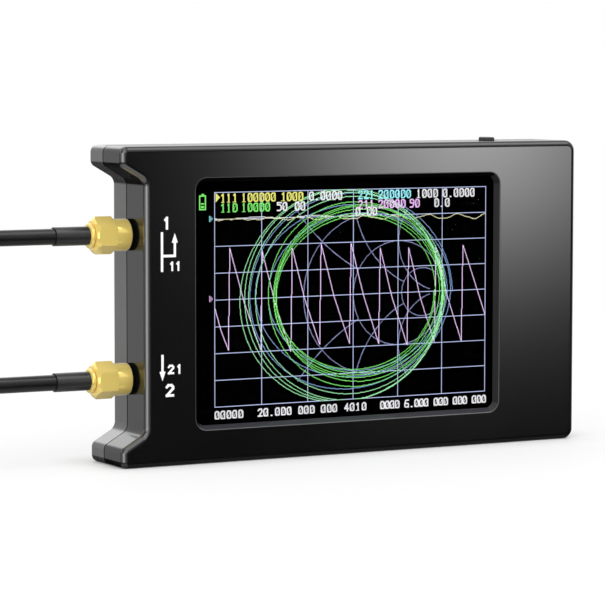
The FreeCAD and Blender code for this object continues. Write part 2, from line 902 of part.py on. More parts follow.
def make_power_switch_knob():
    """The knob at the lower end of its travel, which is off."""
    x0 = inner_right - contact_gap - power_channel_depth + running_clearance
    x1 = right - side_sink
    z0 = power_height - power_travel / 2 - power_knob_height / 2
    y0 = power_y - power_knob_thickness / 2
    y1 = power_y + power_knob_thickness / 2
    knob = box(x0, x1, y0, y1, z0, z0 + power_knob_height)
    half = power_groove_width / 2
    for i in range(power_grooves):
        z = z0 + power_knob_height * (i + 1) / (power_grooves + 1)
        groove = box(x1 - power_groove_depth, x1 + overrun, y0 - overrun, y1 + overrun, z - half, z + half)
        knob = knob.cut(groove)
    return knob


def jog_cavity():
    """The room inside the jog switch for its rocker."""
    room = jog_hub_radius + jog_hub_room
    y0 = jog_y - jog_stem_depth / 2 - jog_side_room
    y1 = jog_y + jog_stem_depth / 2 + jog_side_room
    low = box(jog_x - room, jog_x + room, y0, y1, jog_pivot_z - room, jog_pivot_z + room)
    swing = (jog_body_top - jog_pivot_z) * math.tan(math.radians(jog_swing))
    half_x = jog_stem_width / 2 + swing + jog_neck_room
    neck = box(jog_x - half_x, jog_x + half_x, y0, y1, jog_pivot_z, jog_body_top + overrun)
    reach = jog_pin_length + running_clearance
    pin_hole = jog_pin_radius + running_clearance
    pin = rod_y(jog_x, jog_pivot_z, pin_hole, y0 - reach, y1 + reach)
    return low.fuse(neck).fuse(pin)


def make_jog_switch_body():
    y0 = board_rear + seat_gap
    y1 = y0 + jog_body_rise
    z0 = jog_body_top - jog_body_height
    wide = jog_body_width / 2
    body = box(jog_x - wide, jog_x + wide, y0, y1, z0, jog_body_top)
    half = jog_tub / 2
    tub_front = jog_y - jog_stem_depth / 2 - jog_tub_wall
    tub = box(jog_x - half, jog_x + half, tub_front, y0 + joined, z0, jog_body_top)
    return body.fuse(tub).removeSplitter().cut(jog_cavity())


def make_jog_rocker():
    """Hub on two pins with the stem that carries the cap."""
    half = jog_stem_depth / 2
    hub = rod_y(jog_x, jog_pivot_z, jog_hub_radius, jog_y - half, jog_y + half)
    pin_half = half + jog_side_room + jog_pin_length
    pins = rod_y(jog_x, jog_pivot_z, jog_pin_radius, jog_y - pin_half, jog_y + pin_half)
    narrow = jog_stem_width / 2
    stem = box(jog_x - narrow, jog_x + narrow, jog_y - half, jog_y + half, jog_pivot_z, jog_stem_top)
    return hub.fuse(pins).fuse(stem).removeSplitter()


def make_jog_cap():
    """The cap slides down the stem when it is pressed, and clears the body when it is also tilted."""
    top = case_height + jog_cap_above
    half_x = jog_cap_width / 2
    half_y = jog_cap_depth / 2
    tilt_drop = half_x * math.tan(math.radians(jog_swing))
    bottom = jog_body_top + jog_press + tilt_drop + contact_gap
    cap = box(jog_x - half_x, jog_x + half_x, jog_y - half_y, jog_y + half_y, bottom, top)
    ridge = [edge for edge in cap.Edges if edge.BoundBox.ZMin > top - 1e-4]
    cap = cap.makeFillet(jog_cap_round, ridge)
    bore_x = jog_stem_width / 2 + running_clearance
    bore_y = jog_stem_depth / 2 + running_clearance
    low = bottom - overrun
    bore = box(jog_x - bore_x, jog_x + bore_x, jog_y - bore_y, jog_y + bore_y, low, jog_bore_top)
    return cap.cut(bore)


# ---------------------------------------------------------------- ports and leads
def make_jack(number):
    """The board-edge jack, drawn from its meeting plane towards the board along +X."""
    z = port_heights[number]
    crest = jack_radius
    root = jack_radius - thread_depth
    turns = int((jack_reach - port_gasket_thickness) / thread_pitch)
    bore = insulator_radius + core_clearance
    profile = [(jack_end, bore), (jack_end, root)]
    x = jack_end + thread_start
    for _ in range(turns):
        profile.append((x, crest))
        profile.append((x + thread_crest, crest))
        profile.append((x + thread_pitch / 2, root))
        x += thread_pitch
    profile.append((x, crest))
    profile.append((jack_flange_x, crest))
    profile.append((jack_flange_x, bore))
    barrel = spun(profile, port_y, z)
    half = jack_flange / 2
    flange_end = jack_flange_x + jack_flange_thickness
    flange = box(jack_flange_x, flange_end, port_y - half, port_y + half, z - half, z + half)
    flange = flange.cut(rod_x(port_y, z, bore, jack_flange_x - overrun, board_port_edge + overrun))
    body = barrel.fuse(flange)
    leg_x0 = flange_end - joined
    leg_x1 = flange_end + jack_leg_length
    for side in (-1, 1):
        z0 = z + side * (half - jack_leg / 2) - jack_leg / 2
        rear = board_rear + seat_gap
        front = board_front - seat_gap
        body = body.fuse(box(leg_x0, leg_x1, rear, rear + jack_leg, z0, z0 + jack_leg))
        body = body.fuse(box(leg_x0, leg_x1, front - jack_leg, front, z0, z0 + jack_leg))
    mouth = rod_x(port_y, z, jack_bore, jack_end - overrun, mating_x)
    return body.cut(mouth).removeSplitter()


def make_jack_insulator(number):
    z = port_heights[number]
    x0 = mating_x + contact_gap / 2
    core = rod_x(port_y, z, insulator_radius, x0, jack_core_end)
    bore = rod_x(port_y, z, contact_radius + seat_gap, x0 - overrun, jack_core_end + overrun)
    return core.cut(bore)


def make_jack_contact(number):
    z = port_heights[number]
    x0 = mating_x + contact_gap / 2
    contact = rod_x(port_y, z, contact_radius, x0, jack_core_end)
    tail = rod_x(port_y, z, tail_radius, jack_core_end - joined, board_port_edge + tail_reach)
    contact = contact.fuse(tail)
    socket_end = x0 + pin_reach + socket_extra
    socket = rod_x(port_y, z, pin_radius + pin_clearance, x0 - overrun, socket_end)
    return contact.cut(socket).removeSplitter()


def make_port_gasket(number):
    z = port_heights[number]
    x0 = recess_x - port_gasket_thickness
    x1 = recess_x - seat_gap
    ring = rod_x(port_y, z, port_gasket_radius, x0, x1)
    return ring.cut(rod_x(port_y, z, jack_radius + port_gasket_clearance, x0 - overrun, x1 + overrun))


def make_plug_body():
    """From the meeting plane at x = 0 towards the cable."""
    bore = insulator_radius + core_clearance
    floor = plug_length - plug_floor
    flange_x = mating_depth + contact_gap
    points = [
        (contact_gap, bore),
        (contact_gap, sleeve_radius),
        (flange_x, sleeve_radius),
        (flange_x, plug_flange_radius),
        (flange_x + plug_flange_thickness, plug_flange_radius),
        (flange_x + plug_flange_thickness, plug_radius),
        (plug_length, plug_radius),
        (plug_length, 0.0),
        (floor, 0.0),
        (floor, bore),
    ]
    return spun(points, 0, 0)


def make_plug_insulator():
    core = rod_x(0, 0, insulator_radius, contact_gap, core_end)
    return core.cut(rod_x(0, 0, pin_radius + core_clearance, -overrun, core_end + overrun))


def make_plug_pin():
    points = [
        (-pin_reach, 0.0),
        (-pin_reach, pin_tip_radius),
        (-pin_reach + pin_tip_length, pin_radius),
        (core_end, pin_radius),
        (core_end, 0.0),
    ]
    return spun(points, 0, 0)


def make_retaining_ring():
    x0 = nut_back + contact_gap
    x1 = x0 + ring_length
    ring = rod_x(0, 0, ring_radius, x0, x1)
    rims = [edge for edge in ring.Edges if edge.BoundBox.XMax - edge.BoundBox.XMin < 1e-4]
    ring = ring.makeFillet(ring_round, rims)
    return ring.cut(rod_x(0, 0, plug_radius + seat_gap, x0 - overrun, x1 + overrun))


def make_shrink_sleeve():
    x0 = plug_length + contact_gap
    x1 = x0 + shrink_length
    tube = rod_x(0, 0, shrink_radius, x0, x1)
    return tube.cut(rod_x(0, 0, cable_radius + cable_clearance, x0 - overrun, x1 + overrun))


def make_nut():
    """Hexagon with chamfered ends and a round collar towards the jack."""
    corner = nut_across_flats / math.sqrt(3)
    hex_x0 = nut_front + nut_collar_length
    loop = []
    for i in range(7):
        angle = math.radians(90 + 60 * i)
        loop.append(V(hex_x0, corner * math.cos(angle), corner * math.sin(angle)))
    prism = Part.Face(Part.makePolygon(loop)).extrude(V(nut_back - hex_x0, 0, 0))
    low = corner - nut_chamfer
    widest = corner + nut_envelope_extra
    envelope = [
        (hex_x0, 0.0),
        (hex_x0, low + nut_front_rise),
        (hex_x0 + nut_chamfer * nut_front_share, widest),
        (nut_back - nut_chamfer, widest),
        (nut_back, low),
        (nut_back, 0.0),
    ]
    prism = prism.common(spun(envelope, 0, 0))
    collar = rod_x(0, 0, nut_collar_radius, nut_front, hex_x0 + joined)
    lip = [edge for edge in collar.Edges if edge.BoundBox.XMax < nut_front + 1e-4]
    collar = collar.makeFillet(nut_lip_round, lip)
    nut = prism.fuse(collar)
    nut = nut.cut(rod_x(0, 0, jack_radius + nut_clearance, nut_front - overrun, nut_seat))
    neck = rod_x(0, 0, plug_radius + running_clearance, nut_seat - joined, nut_back + overrun)
    return nut.cut(neck).removeSplitter()


def cable_route(number):
    """The cable's corner points from the near plug to the far one."""
    start = (mating_x - plug_length, port_y, port_heights[number])
    return [V(*start)] + [V(*p) for p in {1: lead_1_points, 2: lead_2_points}[number]]


def make_cable(number):
    """A tube along straight runs joined by tangent arcs, each as large as its two runs allow."""
    points = cable_route(number)
    edges = []
    radii = []
    last = points[0]
    for i in range(1, len(points) - 1):
        back = points[i - 1] - points[i]
        ahead = points[i + 1] - points[i]
        reach = bend_share * min(back.Length, ahead.Length)
        back.normalize()
        ahead.normalize()
        half_turn = (math.pi - back.getAngle(ahead)) / 2
        radius = reach / math.tan(half_turn)
        middle = (back + ahead).normalize()
        depth = radius / math.cos(half_turn) - radius
        first = points[i] + back * reach
        leave = points[i] + ahead * reach
        edges.append(Part.LineSegment(last, first).toShape())
        edges.append(Part.Arc(first, points[i] + middle * depth, leave).toShape())
        radii.append(round(radius, 1))
        last = leave
    edges.append(Part.LineSegment(last, points[-1]).toShape())
    path = Part.Wire(edges)
    section = Part.Wire([Part.makeCircle(cable_radius, points[0], V(1, 0, 0))])
    tube = path.makePipeShell([section], True, False)
    expected = math.pi * cable_radius ** 2 * path.Length
    print(
        "lead", number, "cable length", round(path.Length, 2), "arc radii", radii,
        "volume over section times length", round(tube.Volume / expected, 5),
    )
    return tube


def lead_ends(number):
    """Where the two plugs' meeting planes are, and which way the cable leaves each."""
    near = (mating_x, port_y, port_heights[number], -1)
    end = cable_route(number)[-1]
    far = (end.x - plug_length, end.y, end.z, 1)
    return [near, far]


def both_ends(shape, number):
    return [placed(shape, *end) for end in lead_ends(number)]


# ---------------------------------------------------------------- writing the nodes
def check(name, shape):
    """Stops on a shape that isn't made of whole solids."""
    for solid in shape.Solids:
        if not solid.isValid() or solid.Volume <= 0:
            raise ValueError(name + " holds a solid that is not valid")
    if not shape.Solids:
        raise ValueError(name + " holds no solid")


def write(name, made):
    """One STEP file per node; a list is a group of separate solids."""
    shape = Part.makeCompound(made) if isinstance(made, list) else made
    if not isinstance(made, list) and len(shape.Solids) == 1:
        shape = shape.Solids[0]
    check(name, shape)
    shape.exportStep("parts/" + name + ".step")


def main():
    os.makedirs("parts", exist_ok=True)
    write("front_shell", make_front_shell())
    write("rear_shell", make_rear_shell())
    write("case_screws", make_case_screws())
    write("window_gasket", make_window_gasket())
    write("touch_panel", make_touch_panel())
    write("lcd_panel", make_lcd_panel())
    write("lcd_backlight", make_lcd_backlight())
    write("lcd_frame", make_lcd_frame())
    write("lcd_ribbon", make_lcd_ribbon())
    write("lcd_tape", make_lcd_tape())
    write("ribbon_connector", make_ribbon_connector())
    write("main_board", make_main_board())
    write("mixer_chips", make_mixer_chips())
    write("synthesiser_chips", make_synthesiser_chips())
    write("processor_chip", make_processor())
    write("reference_oscillator", make_oscillator())
    write("power_chips", make_power_chips())
    write("passives", make_passives())
    write("battery", make_battery())
    write("battery_tape", make_battery_tape())
    write("battery_connector", make_battery_connector())
    write("battery_wires", make_battery_wires())
    write("usb_shell", make_usb_shell())
    write("usb_insert", make_usb_insert())
    write("card_socket", make_card_socket())
    write("power_switch_body", make_power_switch_body())
    write("power_switch_knob", make_power_switch_knob())
    write("jog_switch_body", make_jog_switch_body())
    write("jog_rocker", make_jog_rocker())
    write("jog_cap", make_jog_cap())
    for number in (1, 2):
        port = "port_%d_" % number
        write("rf_shield_%d" % number, make_rf_shield(number))
        write(port + "jack", make_jack(number))
        write(port + "insulator", make_jack_insulator(number))
        write(port + "contact", make_jack_contact(number))
        write(port + "gasket", make_port_gasket(number))
        lead = "lead_%d_" % number
        near, far = lead_ends(number)
        write(lead + "cable", make_cable(number))
        write(lead + "plug_bodies", both_ends(make_plug_body(), number))
        write(lead + "plug_insulators", both_ends(make_plug_insulator(), number))
        write(lead + "plug_pins", both_ends(make_plug_pin(), number))
        write(lead + "rings", both_ends(make_retaining_ring(), number))
        write(lead + "shrink_sleeves", both_ends(make_shrink_sleeve(), number))
        write(lead + "nut", placed(make_nut(), *near))
        write(lead + "far_nut", placed(make_nut(), *far))


main()
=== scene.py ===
"""Looks, light and camera for the handheld antenna analyzer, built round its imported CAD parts.

Lengths are in millimetres up to the point where a mesh or curve is made, and MM turns them into metres.
"""

import json
import math

import bpy
from mathutils import Matrix, Vector

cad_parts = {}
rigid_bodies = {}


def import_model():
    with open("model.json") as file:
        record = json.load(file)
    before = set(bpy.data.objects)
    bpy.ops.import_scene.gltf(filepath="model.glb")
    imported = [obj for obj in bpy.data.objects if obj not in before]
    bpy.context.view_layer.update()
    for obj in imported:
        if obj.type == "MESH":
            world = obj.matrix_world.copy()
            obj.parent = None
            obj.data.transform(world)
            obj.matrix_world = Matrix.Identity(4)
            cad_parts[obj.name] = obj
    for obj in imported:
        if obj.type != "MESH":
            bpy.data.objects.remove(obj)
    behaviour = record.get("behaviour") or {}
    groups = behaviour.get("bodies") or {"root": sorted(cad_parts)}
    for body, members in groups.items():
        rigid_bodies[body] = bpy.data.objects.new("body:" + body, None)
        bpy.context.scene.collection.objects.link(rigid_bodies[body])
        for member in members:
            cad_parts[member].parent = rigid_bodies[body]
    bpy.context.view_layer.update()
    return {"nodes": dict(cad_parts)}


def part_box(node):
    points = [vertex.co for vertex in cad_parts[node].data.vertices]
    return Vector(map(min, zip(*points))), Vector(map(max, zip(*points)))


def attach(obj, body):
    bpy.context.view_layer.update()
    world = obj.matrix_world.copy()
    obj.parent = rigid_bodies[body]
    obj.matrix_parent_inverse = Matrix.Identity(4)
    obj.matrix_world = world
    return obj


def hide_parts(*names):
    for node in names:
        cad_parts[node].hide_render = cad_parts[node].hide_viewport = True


MM = 0.001

for leftover in list(bpy.data.objects):
    bpy.data.objects.remove(leftover)
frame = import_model()
nodes = frame["nodes"]
scene = bpy.context.scene


# ---------------------------------------------------------------- node helpers
def colour4(colour):
    """A shade or a colour as red, green, blue and alpha."""
    if isinstance(colour, (int, float)):
        return (colour, colour, colour, 1.0)
    return (*colour, 1.0)


def set_stops(node, stops):
    """Gives a colour ramp node its (position, colour) stops."""
    elements = node.color_ramp.elements
    elements.remove(elements[-1])
    elements[0].position = stops[0][0]
    elements[0].color = colour4(stops[0][1])
    for position, colour in stops[1:]:
        elements.new(position).color = colour4(colour)


def mix(tree, share, first, second):
    """The first shader where share is 0 and the second where it is 1."""
    node = tree.nodes.new("ShaderNodeMixShader")
    tree.links.new(share, node.inputs["Fac"])
    tree.links.new(first, node.inputs[1])
    tree.links.new(second, node.inputs[2])
    return node.outputs["Shader"]


class Nodes:
    """A new material's node tree, with short ways to add and join nodes."""

    def __init__(self, name):
        self.material = bpy.data.materials.new(name)
        self.material.use_nodes = True
        self.tree = self.material.node_tree
        self.tree.nodes.clear()
        self.out = self.tree.nodes.new("ShaderNodeOutputMaterial")
        self.shader = self.tree.nodes.new("ShaderNodeBsdfPrincipled")
        self.tree.links.new(self.shader.outputs["BSDF"], self.out.inputs["Surface"])

    def add(self, kind, **values):
        """A node with constants in its inputs; underscores stand for spaces."""
        node = self.tree.nodes.new(kind)
        for key, value in values.items():
            node.inputs[key.replace("_", " ")].default_value = value
        return node

    def join(self, a, b):
        self.tree.links.new(a, b)

    def set(self, **values):
        """Constants straight on the shader's sockets."""
        for key, value in values.items():
            self.shader.inputs[key.replace("_", " ")].default_value = value

    def coords(self, stretch=(1, 1, 1)):
        """The object's own coordinates, stretched."""
        place = self.add("ShaderNodeTexCoord")
        mapping = self.add("ShaderNodeMapping", Scale=stretch)
        self.join(place.outputs["Object"], mapping.inputs["Vector"])
        return mapping.outputs["Vector"]

    def noise(self, scale, detail=3.0, stretch=(1, 1, 1)):
        node = self.add("ShaderNodeTexNoise", Scale=scale, Detail=detail)
        self.join(self.coords(stretch), node.inputs["Vector"])
        return node.outputs["Fac"]

    def ramp(self, value, stops):
        """A colour ramp through (position, colour) stops."""
        node = self.add("ShaderNodeValToRGB")
        set_stops(node, stops)
        self.join(value, node.inputs["Fac"])
        return node.outputs["Color"]

    def span(self, value, low, high):
        """A value from 0 to 1, spread from low to high."""
        node = self.add("ShaderNodeMapRange", To_Min=low, To_Max=high)
        self.join(value, node.inputs["Value"])
        return node.outputs["Result"]

    def bump(self, height, strength, depth):
        """Bump of a depth in millimetres."""
        node = self.add("ShaderNodeBump", Strength=strength, Distance=depth * MM)
        self.join(height, node.inputs["Height"])
        self.join(node.outputs["Normal"], self.shader.inputs["Normal"])


def surface(name, low, high, rough, grain=900.0, bump=0.02, depth=0.02, mottling=60.0, **extra):
    """A moulded or painted surface: soft mottling in colour and gloss over a fine grain."""
    n = Nodes(name)
    broad = n.noise(mottling, detail=4.0)
    n.join(n.ramp(broad, [(0.3, low), (0.7, high)]), n.shader.inputs["Base Color"])
    n.join(n.span(broad, rough * 0.92, rough * 1.08), n.shader.inputs["Roughness"])
    n.bump(n.noise(grain, detail=2.0), bump, depth)
    n.set(**extra)
    return n.material


def drawn_metal(name, low, high, rough, stretch, bump=0.05, metallic=1.0, **extra):
    """Metal with fine tool marks; stretch squeezes the noise across the marks."""
    n = Nodes(name)
    marks = n.noise(700.0, stretch=stretch)
    n.join(n.ramp(n.noise(140.0, detail=4.0), [(0.25, low), (0.75, high)]), n.shader.inputs["Base Color"])
    n.join(n.span(marks, rough * 0.8, rough * 1.2), n.shader.inputs["Roughness"])
    n.bump(marks, bump, 0.01)
    n.set(Metallic=metallic, **extra)
    return n.material


BACKLIGHT_DIP = 0.88        # the display's dimmest spots, as a share of its brightest


def glow(name, colour, strength=1.0):
    """Lit pixels of the display, with the faint unevenness of its backlight."""
    n = Nodes(name)
    dim = tuple(channel * BACKLIGHT_DIP for channel in colour)
    shade = n.ramp(n.noise(90.0, detail=2.0), [(0.35, dim), (0.65, colour)])
    n.join(shade, n.shader.inputs["Emission Color"])
    n.set(Emission_Strength=strength, Roughness=0.6, Specular_IOR_Level=0.0, Base_Color=(0, 0, 0, 1))
    return n.material


# ---------------------------------------------------------------- materials
def board_material():
    """Green solder mask over a grid of copper traces."""
    n = Nodes("board")
    cells = n.add("ShaderNodeTexBrick", Scale=420.0, Mortar_Size=0.12)
    cells.inputs["Color1"].default_value = (0.004, 0.045, 0.018, 1)
    cells.inputs["Color2"].default_value = (0.003, 0.035, 0.014, 1)
    cells.inputs["Mortar"].default_value = (0.010, 0.085, 0.035, 1)
    split = n.add("ShaderNodeSeparateXYZ")
    flat = n.add("ShaderNodeCombineXYZ")
    n.join(n.coords(), split.inputs["Vector"])
    n.join(split.outputs["X"], flat.inputs["X"])
    n.join(split.outputs["Z"], flat.inputs["Y"])
    n.join(flat.outputs["Vector"], cells.inputs["Vector"])
    n.join(cells.outputs["Color"], n.shader.inputs["Base Color"])
    n.bump(cells.outputs["Fac"], 0.2, 0.03)
    n.set(Roughness=0.3)
    return n.material


def glass_material():
    """The clear touch panel, bonded so that little light comes back from it."""
    n = Nodes("touch_glass")
    tint = n.ramp(n.noise(50.0), [(0.3, (0.97, 0.98, 1.0)), (0.7, (1.0, 1.0, 1.0))])
    n.join(tint, n.shader.inputs["Base Color"])
    n.set(Transmission_Weight=1.0, IOR=1.004, Roughness=0.0)
    return n.material


def all_finishes():
    """Every finish by name, the painted light and shade for faces of the case included. Shades are dark and
    light mottling, and the number after them is roughness.
    """
    return {
        "case_front": surface("case_front", 0.0035, 0.0045, 0.12, mottling=40.0),
        "case_rear": surface("case_rear", 0.040, 0.050, 0.20, mottling=40.0, Specular_IOR_Level=1.0),
        # painted shade: the bevel's upper and left sides, near black and without gloss
        "bevel_painted_shade": surface("bevel_painted_shade", 0.0010, 0.0020, 0.5, mottling=40.0, Specular_IOR_Level=0.0),
        # painted light: the bevel's lower side, lighter, with a bluish painted reflection of the screen
        "bevel_low_painted_light": surface("bevel_low_painted_light", (0.030, 0.029, 0.035), (0.034, 0.033, 0.039), 0.05, mottling=40.0),
        # painted light: the bevel's lower right corner, between the lit and the shaded side
        "bevel_turn_painted_light": surface("bevel_turn_painted_light", 0.024, 0.030, 0.20, mottling=40.0, Specular_IOR_Level=0.3),
        # painted highlight: the narrow rounding round the window
        "rim_painted_highlight": surface("rim_painted_highlight", 0.050, 0.060, 0.30, mottling=40.0),
        # painted shade: the bevel's right side, dim and with little gloss
        "bevel_side_painted_shade": surface("bevel_side_painted_shade", 0.008, 0.012, 0.25, mottling=40.0, Specular_IOR_Level=0.15),
        # painted highlight: the rounded left edge of the front, lighter and glossier
        "edge_painted_highlight": surface("edge_painted_highlight", 0.012, 0.018, 0.16, mottling=40.0, Specular_IOR_Level=1.0, IOR=1.7),
        # painted shade: the groove where the two shells meet
        "seam": surface("seam", 0.0010, 0.0020, 0.8, mottling=40.0, Specular_IOR_Level=0.0),
        "screw": drawn_metal("screw", 0.05, 0.09, 0.35, (1, 1, 1)),
        "foam": surface("foam", 0.006, 0.012, 0.9, grain=2500.0, bump=0.5, depth=0.1),
        "lcd_black": surface("lcd_black", 0.0004, 0.0010, 0.35, Specular_IOR_Level=0.0),
        "ink": surface("ink", 0.0003, 0.0008, 0.6, Specular_IOR_Level=0.0),
        "light_guide": surface("light_guide", 0.75, 0.82, 0.4),
        "tray": drawn_metal("tray", 0.45, 0.6, 0.35, (1, 1, 6)),
        "polyimide": surface("polyimide", (0.35, 0.13, 0.02), (0.5, 0.2, 0.03), 0.3),
        "ivory": surface("ivory", (0.72, 0.67, 0.52), (0.8, 0.75, 0.6), 0.5),
        "chip": surface("chip", 0.012, 0.022, 0.55, grain=4000.0, bump=0.3, depth=0.03),
        "can": drawn_metal("can", 0.5, 0.66, 0.28, (1, 1, 5)),
        "crystal": drawn_metal("crystal", (0.6, 0.55, 0.4), (0.7, 0.65, 0.5), 0.25, (1, 1, 3)),
        "pouch": drawn_metal("pouch", 0.4, 0.55, 0.4, (1, 1, 1), bump=0.2),
        "tape": surface("tape", 0.75, 0.85, 0.8),
        "wire": surface("wire", (0.4, 0.01, 0.01), (0.55, 0.02, 0.015), 0.4),
        "socket": drawn_metal("socket", 0.5, 0.65, 0.25, (4, 1, 1)),
        "black_plastic": surface("black_plastic", 0.012, 0.02, 0.42, grain=2500.0, bump=0.15),
        "ptfe": surface("ptfe", 0.8, 0.86, 0.45),
        "seal": surface("seal", 0.0008, 0.0016, 0.7, grain=3000.0, bump=0.2, Specular_IOR_Level=0.05),
        "jacket": surface(
            "jacket", 0.004, 0.008, 0.30, grain=1800.0, bump=0.12, depth=0.03, mottling=120.0,
            Specular_IOR_Level=0.33,
        ),
        "shrink": surface("shrink", 0.010, 0.018, 0.36, grain=1500.0, bump=0.20, depth=0.05, mottling=150.0),
        "gold": drawn_metal(
            "gold", (0.86, 0.65, 0.16), (0.92, 0.71, 0.21), 0.13, (1, 6, 6),
            metallic=0.4, Sheen_Weight=1.0, Sheen_Roughness=0.3,
        ),
        "passive": surface("passive", (0.16, 0.09, 0.045), (0.3, 0.19, 0.1), 0.45, mottling=900.0),
        "print": surface("print", 0.80, 0.90, 0.5, grain=3000.0, bump=0.1, depth=0.01),
        "board": board_material(),
        "glass": glass_material(),
        "lavender": glow("lavender", (0.42, 0.48, 0.72), strength=1.45),
        "haze": glow("haze", (0.30, 0.34, 0.58)),
        "violet": glow("violet", (0.86, 0.62, 0.98), strength=1.3),
        "green": glow("green", (0.24, 0.92, 0.18)),
        "mint": glow("mint", (0.42, 1.0, 0.50)),
        "blue": glow("blue", (0.26, 0.42, 0.76)),
        "yellow": glow("yellow", (0.94, 0.92, 0.22)),
        "cream": glow("cream", (0.90, 0.86, 0.50)),
        "cyan": glow("cyan", (0.36, 0.92, 1.0)),
        "magenta": glow("magenta", (0.92, 0.56, 0.98)),
        "white": glow("white", (0.92, 0.92, 0.94)),
    }


FINISHES = all_finishes()
PORTS = (1, 2)
NODE_FINISHES = {
    "front_shell": "case_front", "rear_shell": "case_rear", "case_screws": "screw",
    "window_gasket": "foam", "touch_panel": "glass", "lcd_panel": "lcd_black",
    "lcd_backlight": "light_guide", "lcd_frame": "tray", "lcd_ribbon": "polyimide",
    "lcd_tape": "foam", "ribbon_connector": "ivory", "main_board": "board",
    "mixer_chips": "chip", "synthesiser_chips": "chip", "processor_chip": "chip",
    "reference_oscillator": "crystal", "power_chips": "chip", "passives": "passive",
    "battery": "pouch", "battery_tape": "tape", "battery_connector": "ivory",
    "battery_wires": "wire", "usb_shell": "socket", "usb_insert": "black_plastic",
    "card_socket": "socket", "power_switch_body": "black_plastic",
    "jog_switch_body": "black_plastic", "power_switch_knob": "black_plastic",
    "jog_rocker": "black_plastic", "jog_cap": "black_plastic",
}
PORT_FINISHES = {
    "rf_shield_%d": "can", "port_%d_jack": "gold", "port_%d_insulator": "ptfe",
    "port_%d_contact": "gold", "port_%d_gasket": "seal", "lead_%d_cable": "jacket",
    "lead_%d_plug_bodies": "gold", "lead_%d_plug_insulators": "ptfe",
    "lead_%d_plug_pins": "gold", "lead_%d_rings": "gold", "lead_%d_shrink_sleeves": "shrink",
    "lead_%d_nut": "gold", "lead_%d_far_nut": "gold",
}
for number in PORTS:
    for pattern, key in PORT_FINISHES.items():
        NODE_FINISHES[pattern % number] = key

for name, obj in nodes.items():
    obj.data.materials.clear()
    obj.data.materials.append(FINISHES[NODE_FINISHES[name]])


# ---------------------------------------------------------------- mesh helpers
def new_piece(name, data, key, body):
    """An object of the analyzer, riding on a body and taking a finish by its key."""
    obj = bpy.data.objects.new(name, data)
    scene.collection.objects.link(obj)
    data.materials.append(FINISHES[key])
    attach(obj, body)
    return obj


def plates(name, outlines, y, depth, key):
    """Thin filled shapes facing -Y from convex (x, z) outlines, standing depth in front of y."""
    verts = []
    faces = []
    for outline in outlines:
        base = len(verts)
        count = len(outline)
        verts += [(x * MM, (y - depth) * MM, z * MM) for x, z in outline]
        verts += [(x * MM, y * MM, z * MM) for x, z in outline]
        faces.append(range(base, base + count))
        faces.append(range(base + 2 * count - 1, base + count - 1, -1))
        for i in range(count):
            j = (i + 1) % count
            faces.append((base + i, base + count + i, base + count + j, base + j))
    mesh = bpy.data.meshes.new(name)
    mesh.from_pydata(verts, [], [tuple(face) for face in faces])
    mesh.update()
    new_piece(name, mesh, key, "case")


# Pen strokes of plain figures, on a grid four units wide and six units high.
FIGURES = {
    "0": [[(0, 1), (0, 5), (1, 6), (3, 6), (4, 5), (4, 1), (3, 0), (1, 0), (0, 1)]],
    "1": [[(1, 5), (2, 6), (2, 0)]],
    "2": [[(0, 5), (1, 6), (3, 6), (4, 5), (4, 4), (0, 0), (4, 0)]],
    "4": [[(3, 0), (3, 6), (0, 2), (4, 2)]],
    "5": [[(4, 6), (0, 6), (0, 4), (3, 4), (4, 3), (4, 1), (3, 0), (0, 0)]],
    "6": [[(4, 6), (1, 6), (0, 4), (0, 1), (1, 0), (3, 0), (4, 1), (4, 2), (3, 3), (0, 3)]],
    "9": [[(0, 0), (3, 0), (4, 2), (4, 5), (3, 6), (1, 6), (0, 5), (0, 4), (1, 3), (4, 3)]],
    ".": [[(1.5, 0), (2, 0)]],
    " ": [],
}
FIGURE_COLUMNS, FIGURE_ROWS = 4, 6
ONE_COLUMNS = 2             # a 1 is narrower than the other figures
EXTRA_STROKES = {"0": [(1.2, 1.6), (3.6, 5.2)], "1": [(0.6, 0), (3.4, 0)]}   # on the display only

# ---------------------------------------------------------------- the display's picture
PIXEL = 83.5 / 480          # pitch of the display's pixels
PIXEL_GAP = 0.006           # dark seam left between two runs of pixels
PICTURE_DEPTH = 0.02
LCD_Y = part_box("lcd_panel")[0][1] / MM
GRID_X0, GRID_X1 = -38.9, 39.45
GRID_Z0, GRID_Z1 = 13.4, 66.25
COLUMNS, ROWS = 6, 8
FIGURE_WIDE, FIGURE_HIGH = 8, 13    # figures on the display, in pixels
FIGURE_PITCH = 9.4
LAST_ROW_HIGH = 12
LONG_TEXT_PITCH = 8.3
THICK_PEN = 2
BATTERY_SIGN = (-0.318, 0.63)       # its lower left corner on the grid
BATTERY_WIDE, BATTERY_HIGH = 9, 19
BATTERY_BARS = (3, 4, 5, 8, 9)      # heights of the lit bars in it
MARKERS = ((0.03, 0.19, 6, "yellow"), (-0.10, 0.98, 4, "cyan"), (-0.10, 3.96, 4, "magenta"))
TRACE_START, TRACE_END = 4.3, 5.0   # rows of the phase trace at the grid's left and right edges
TEETH = (                   # column of a jump, the row the trace has sunk to and the row it jumps up to
    (0.29, 5.90, 2.07), (0.98, 5.95, 2.21), (1.63, 6.06, 2.16), (2.26, 5.83, 2.03), (2.92, 5.87, 2.05),
    (3.57, 5.92, 2.27), (4.21, 6.02, 2.28), (4.83, 5.98, 2.30), (5.45, 5.98, 2.25),
)
KNEE = (0.45, 0.52)                 # where a fall bends, as shares of its width and height
JUMP_LEAN = 0.03
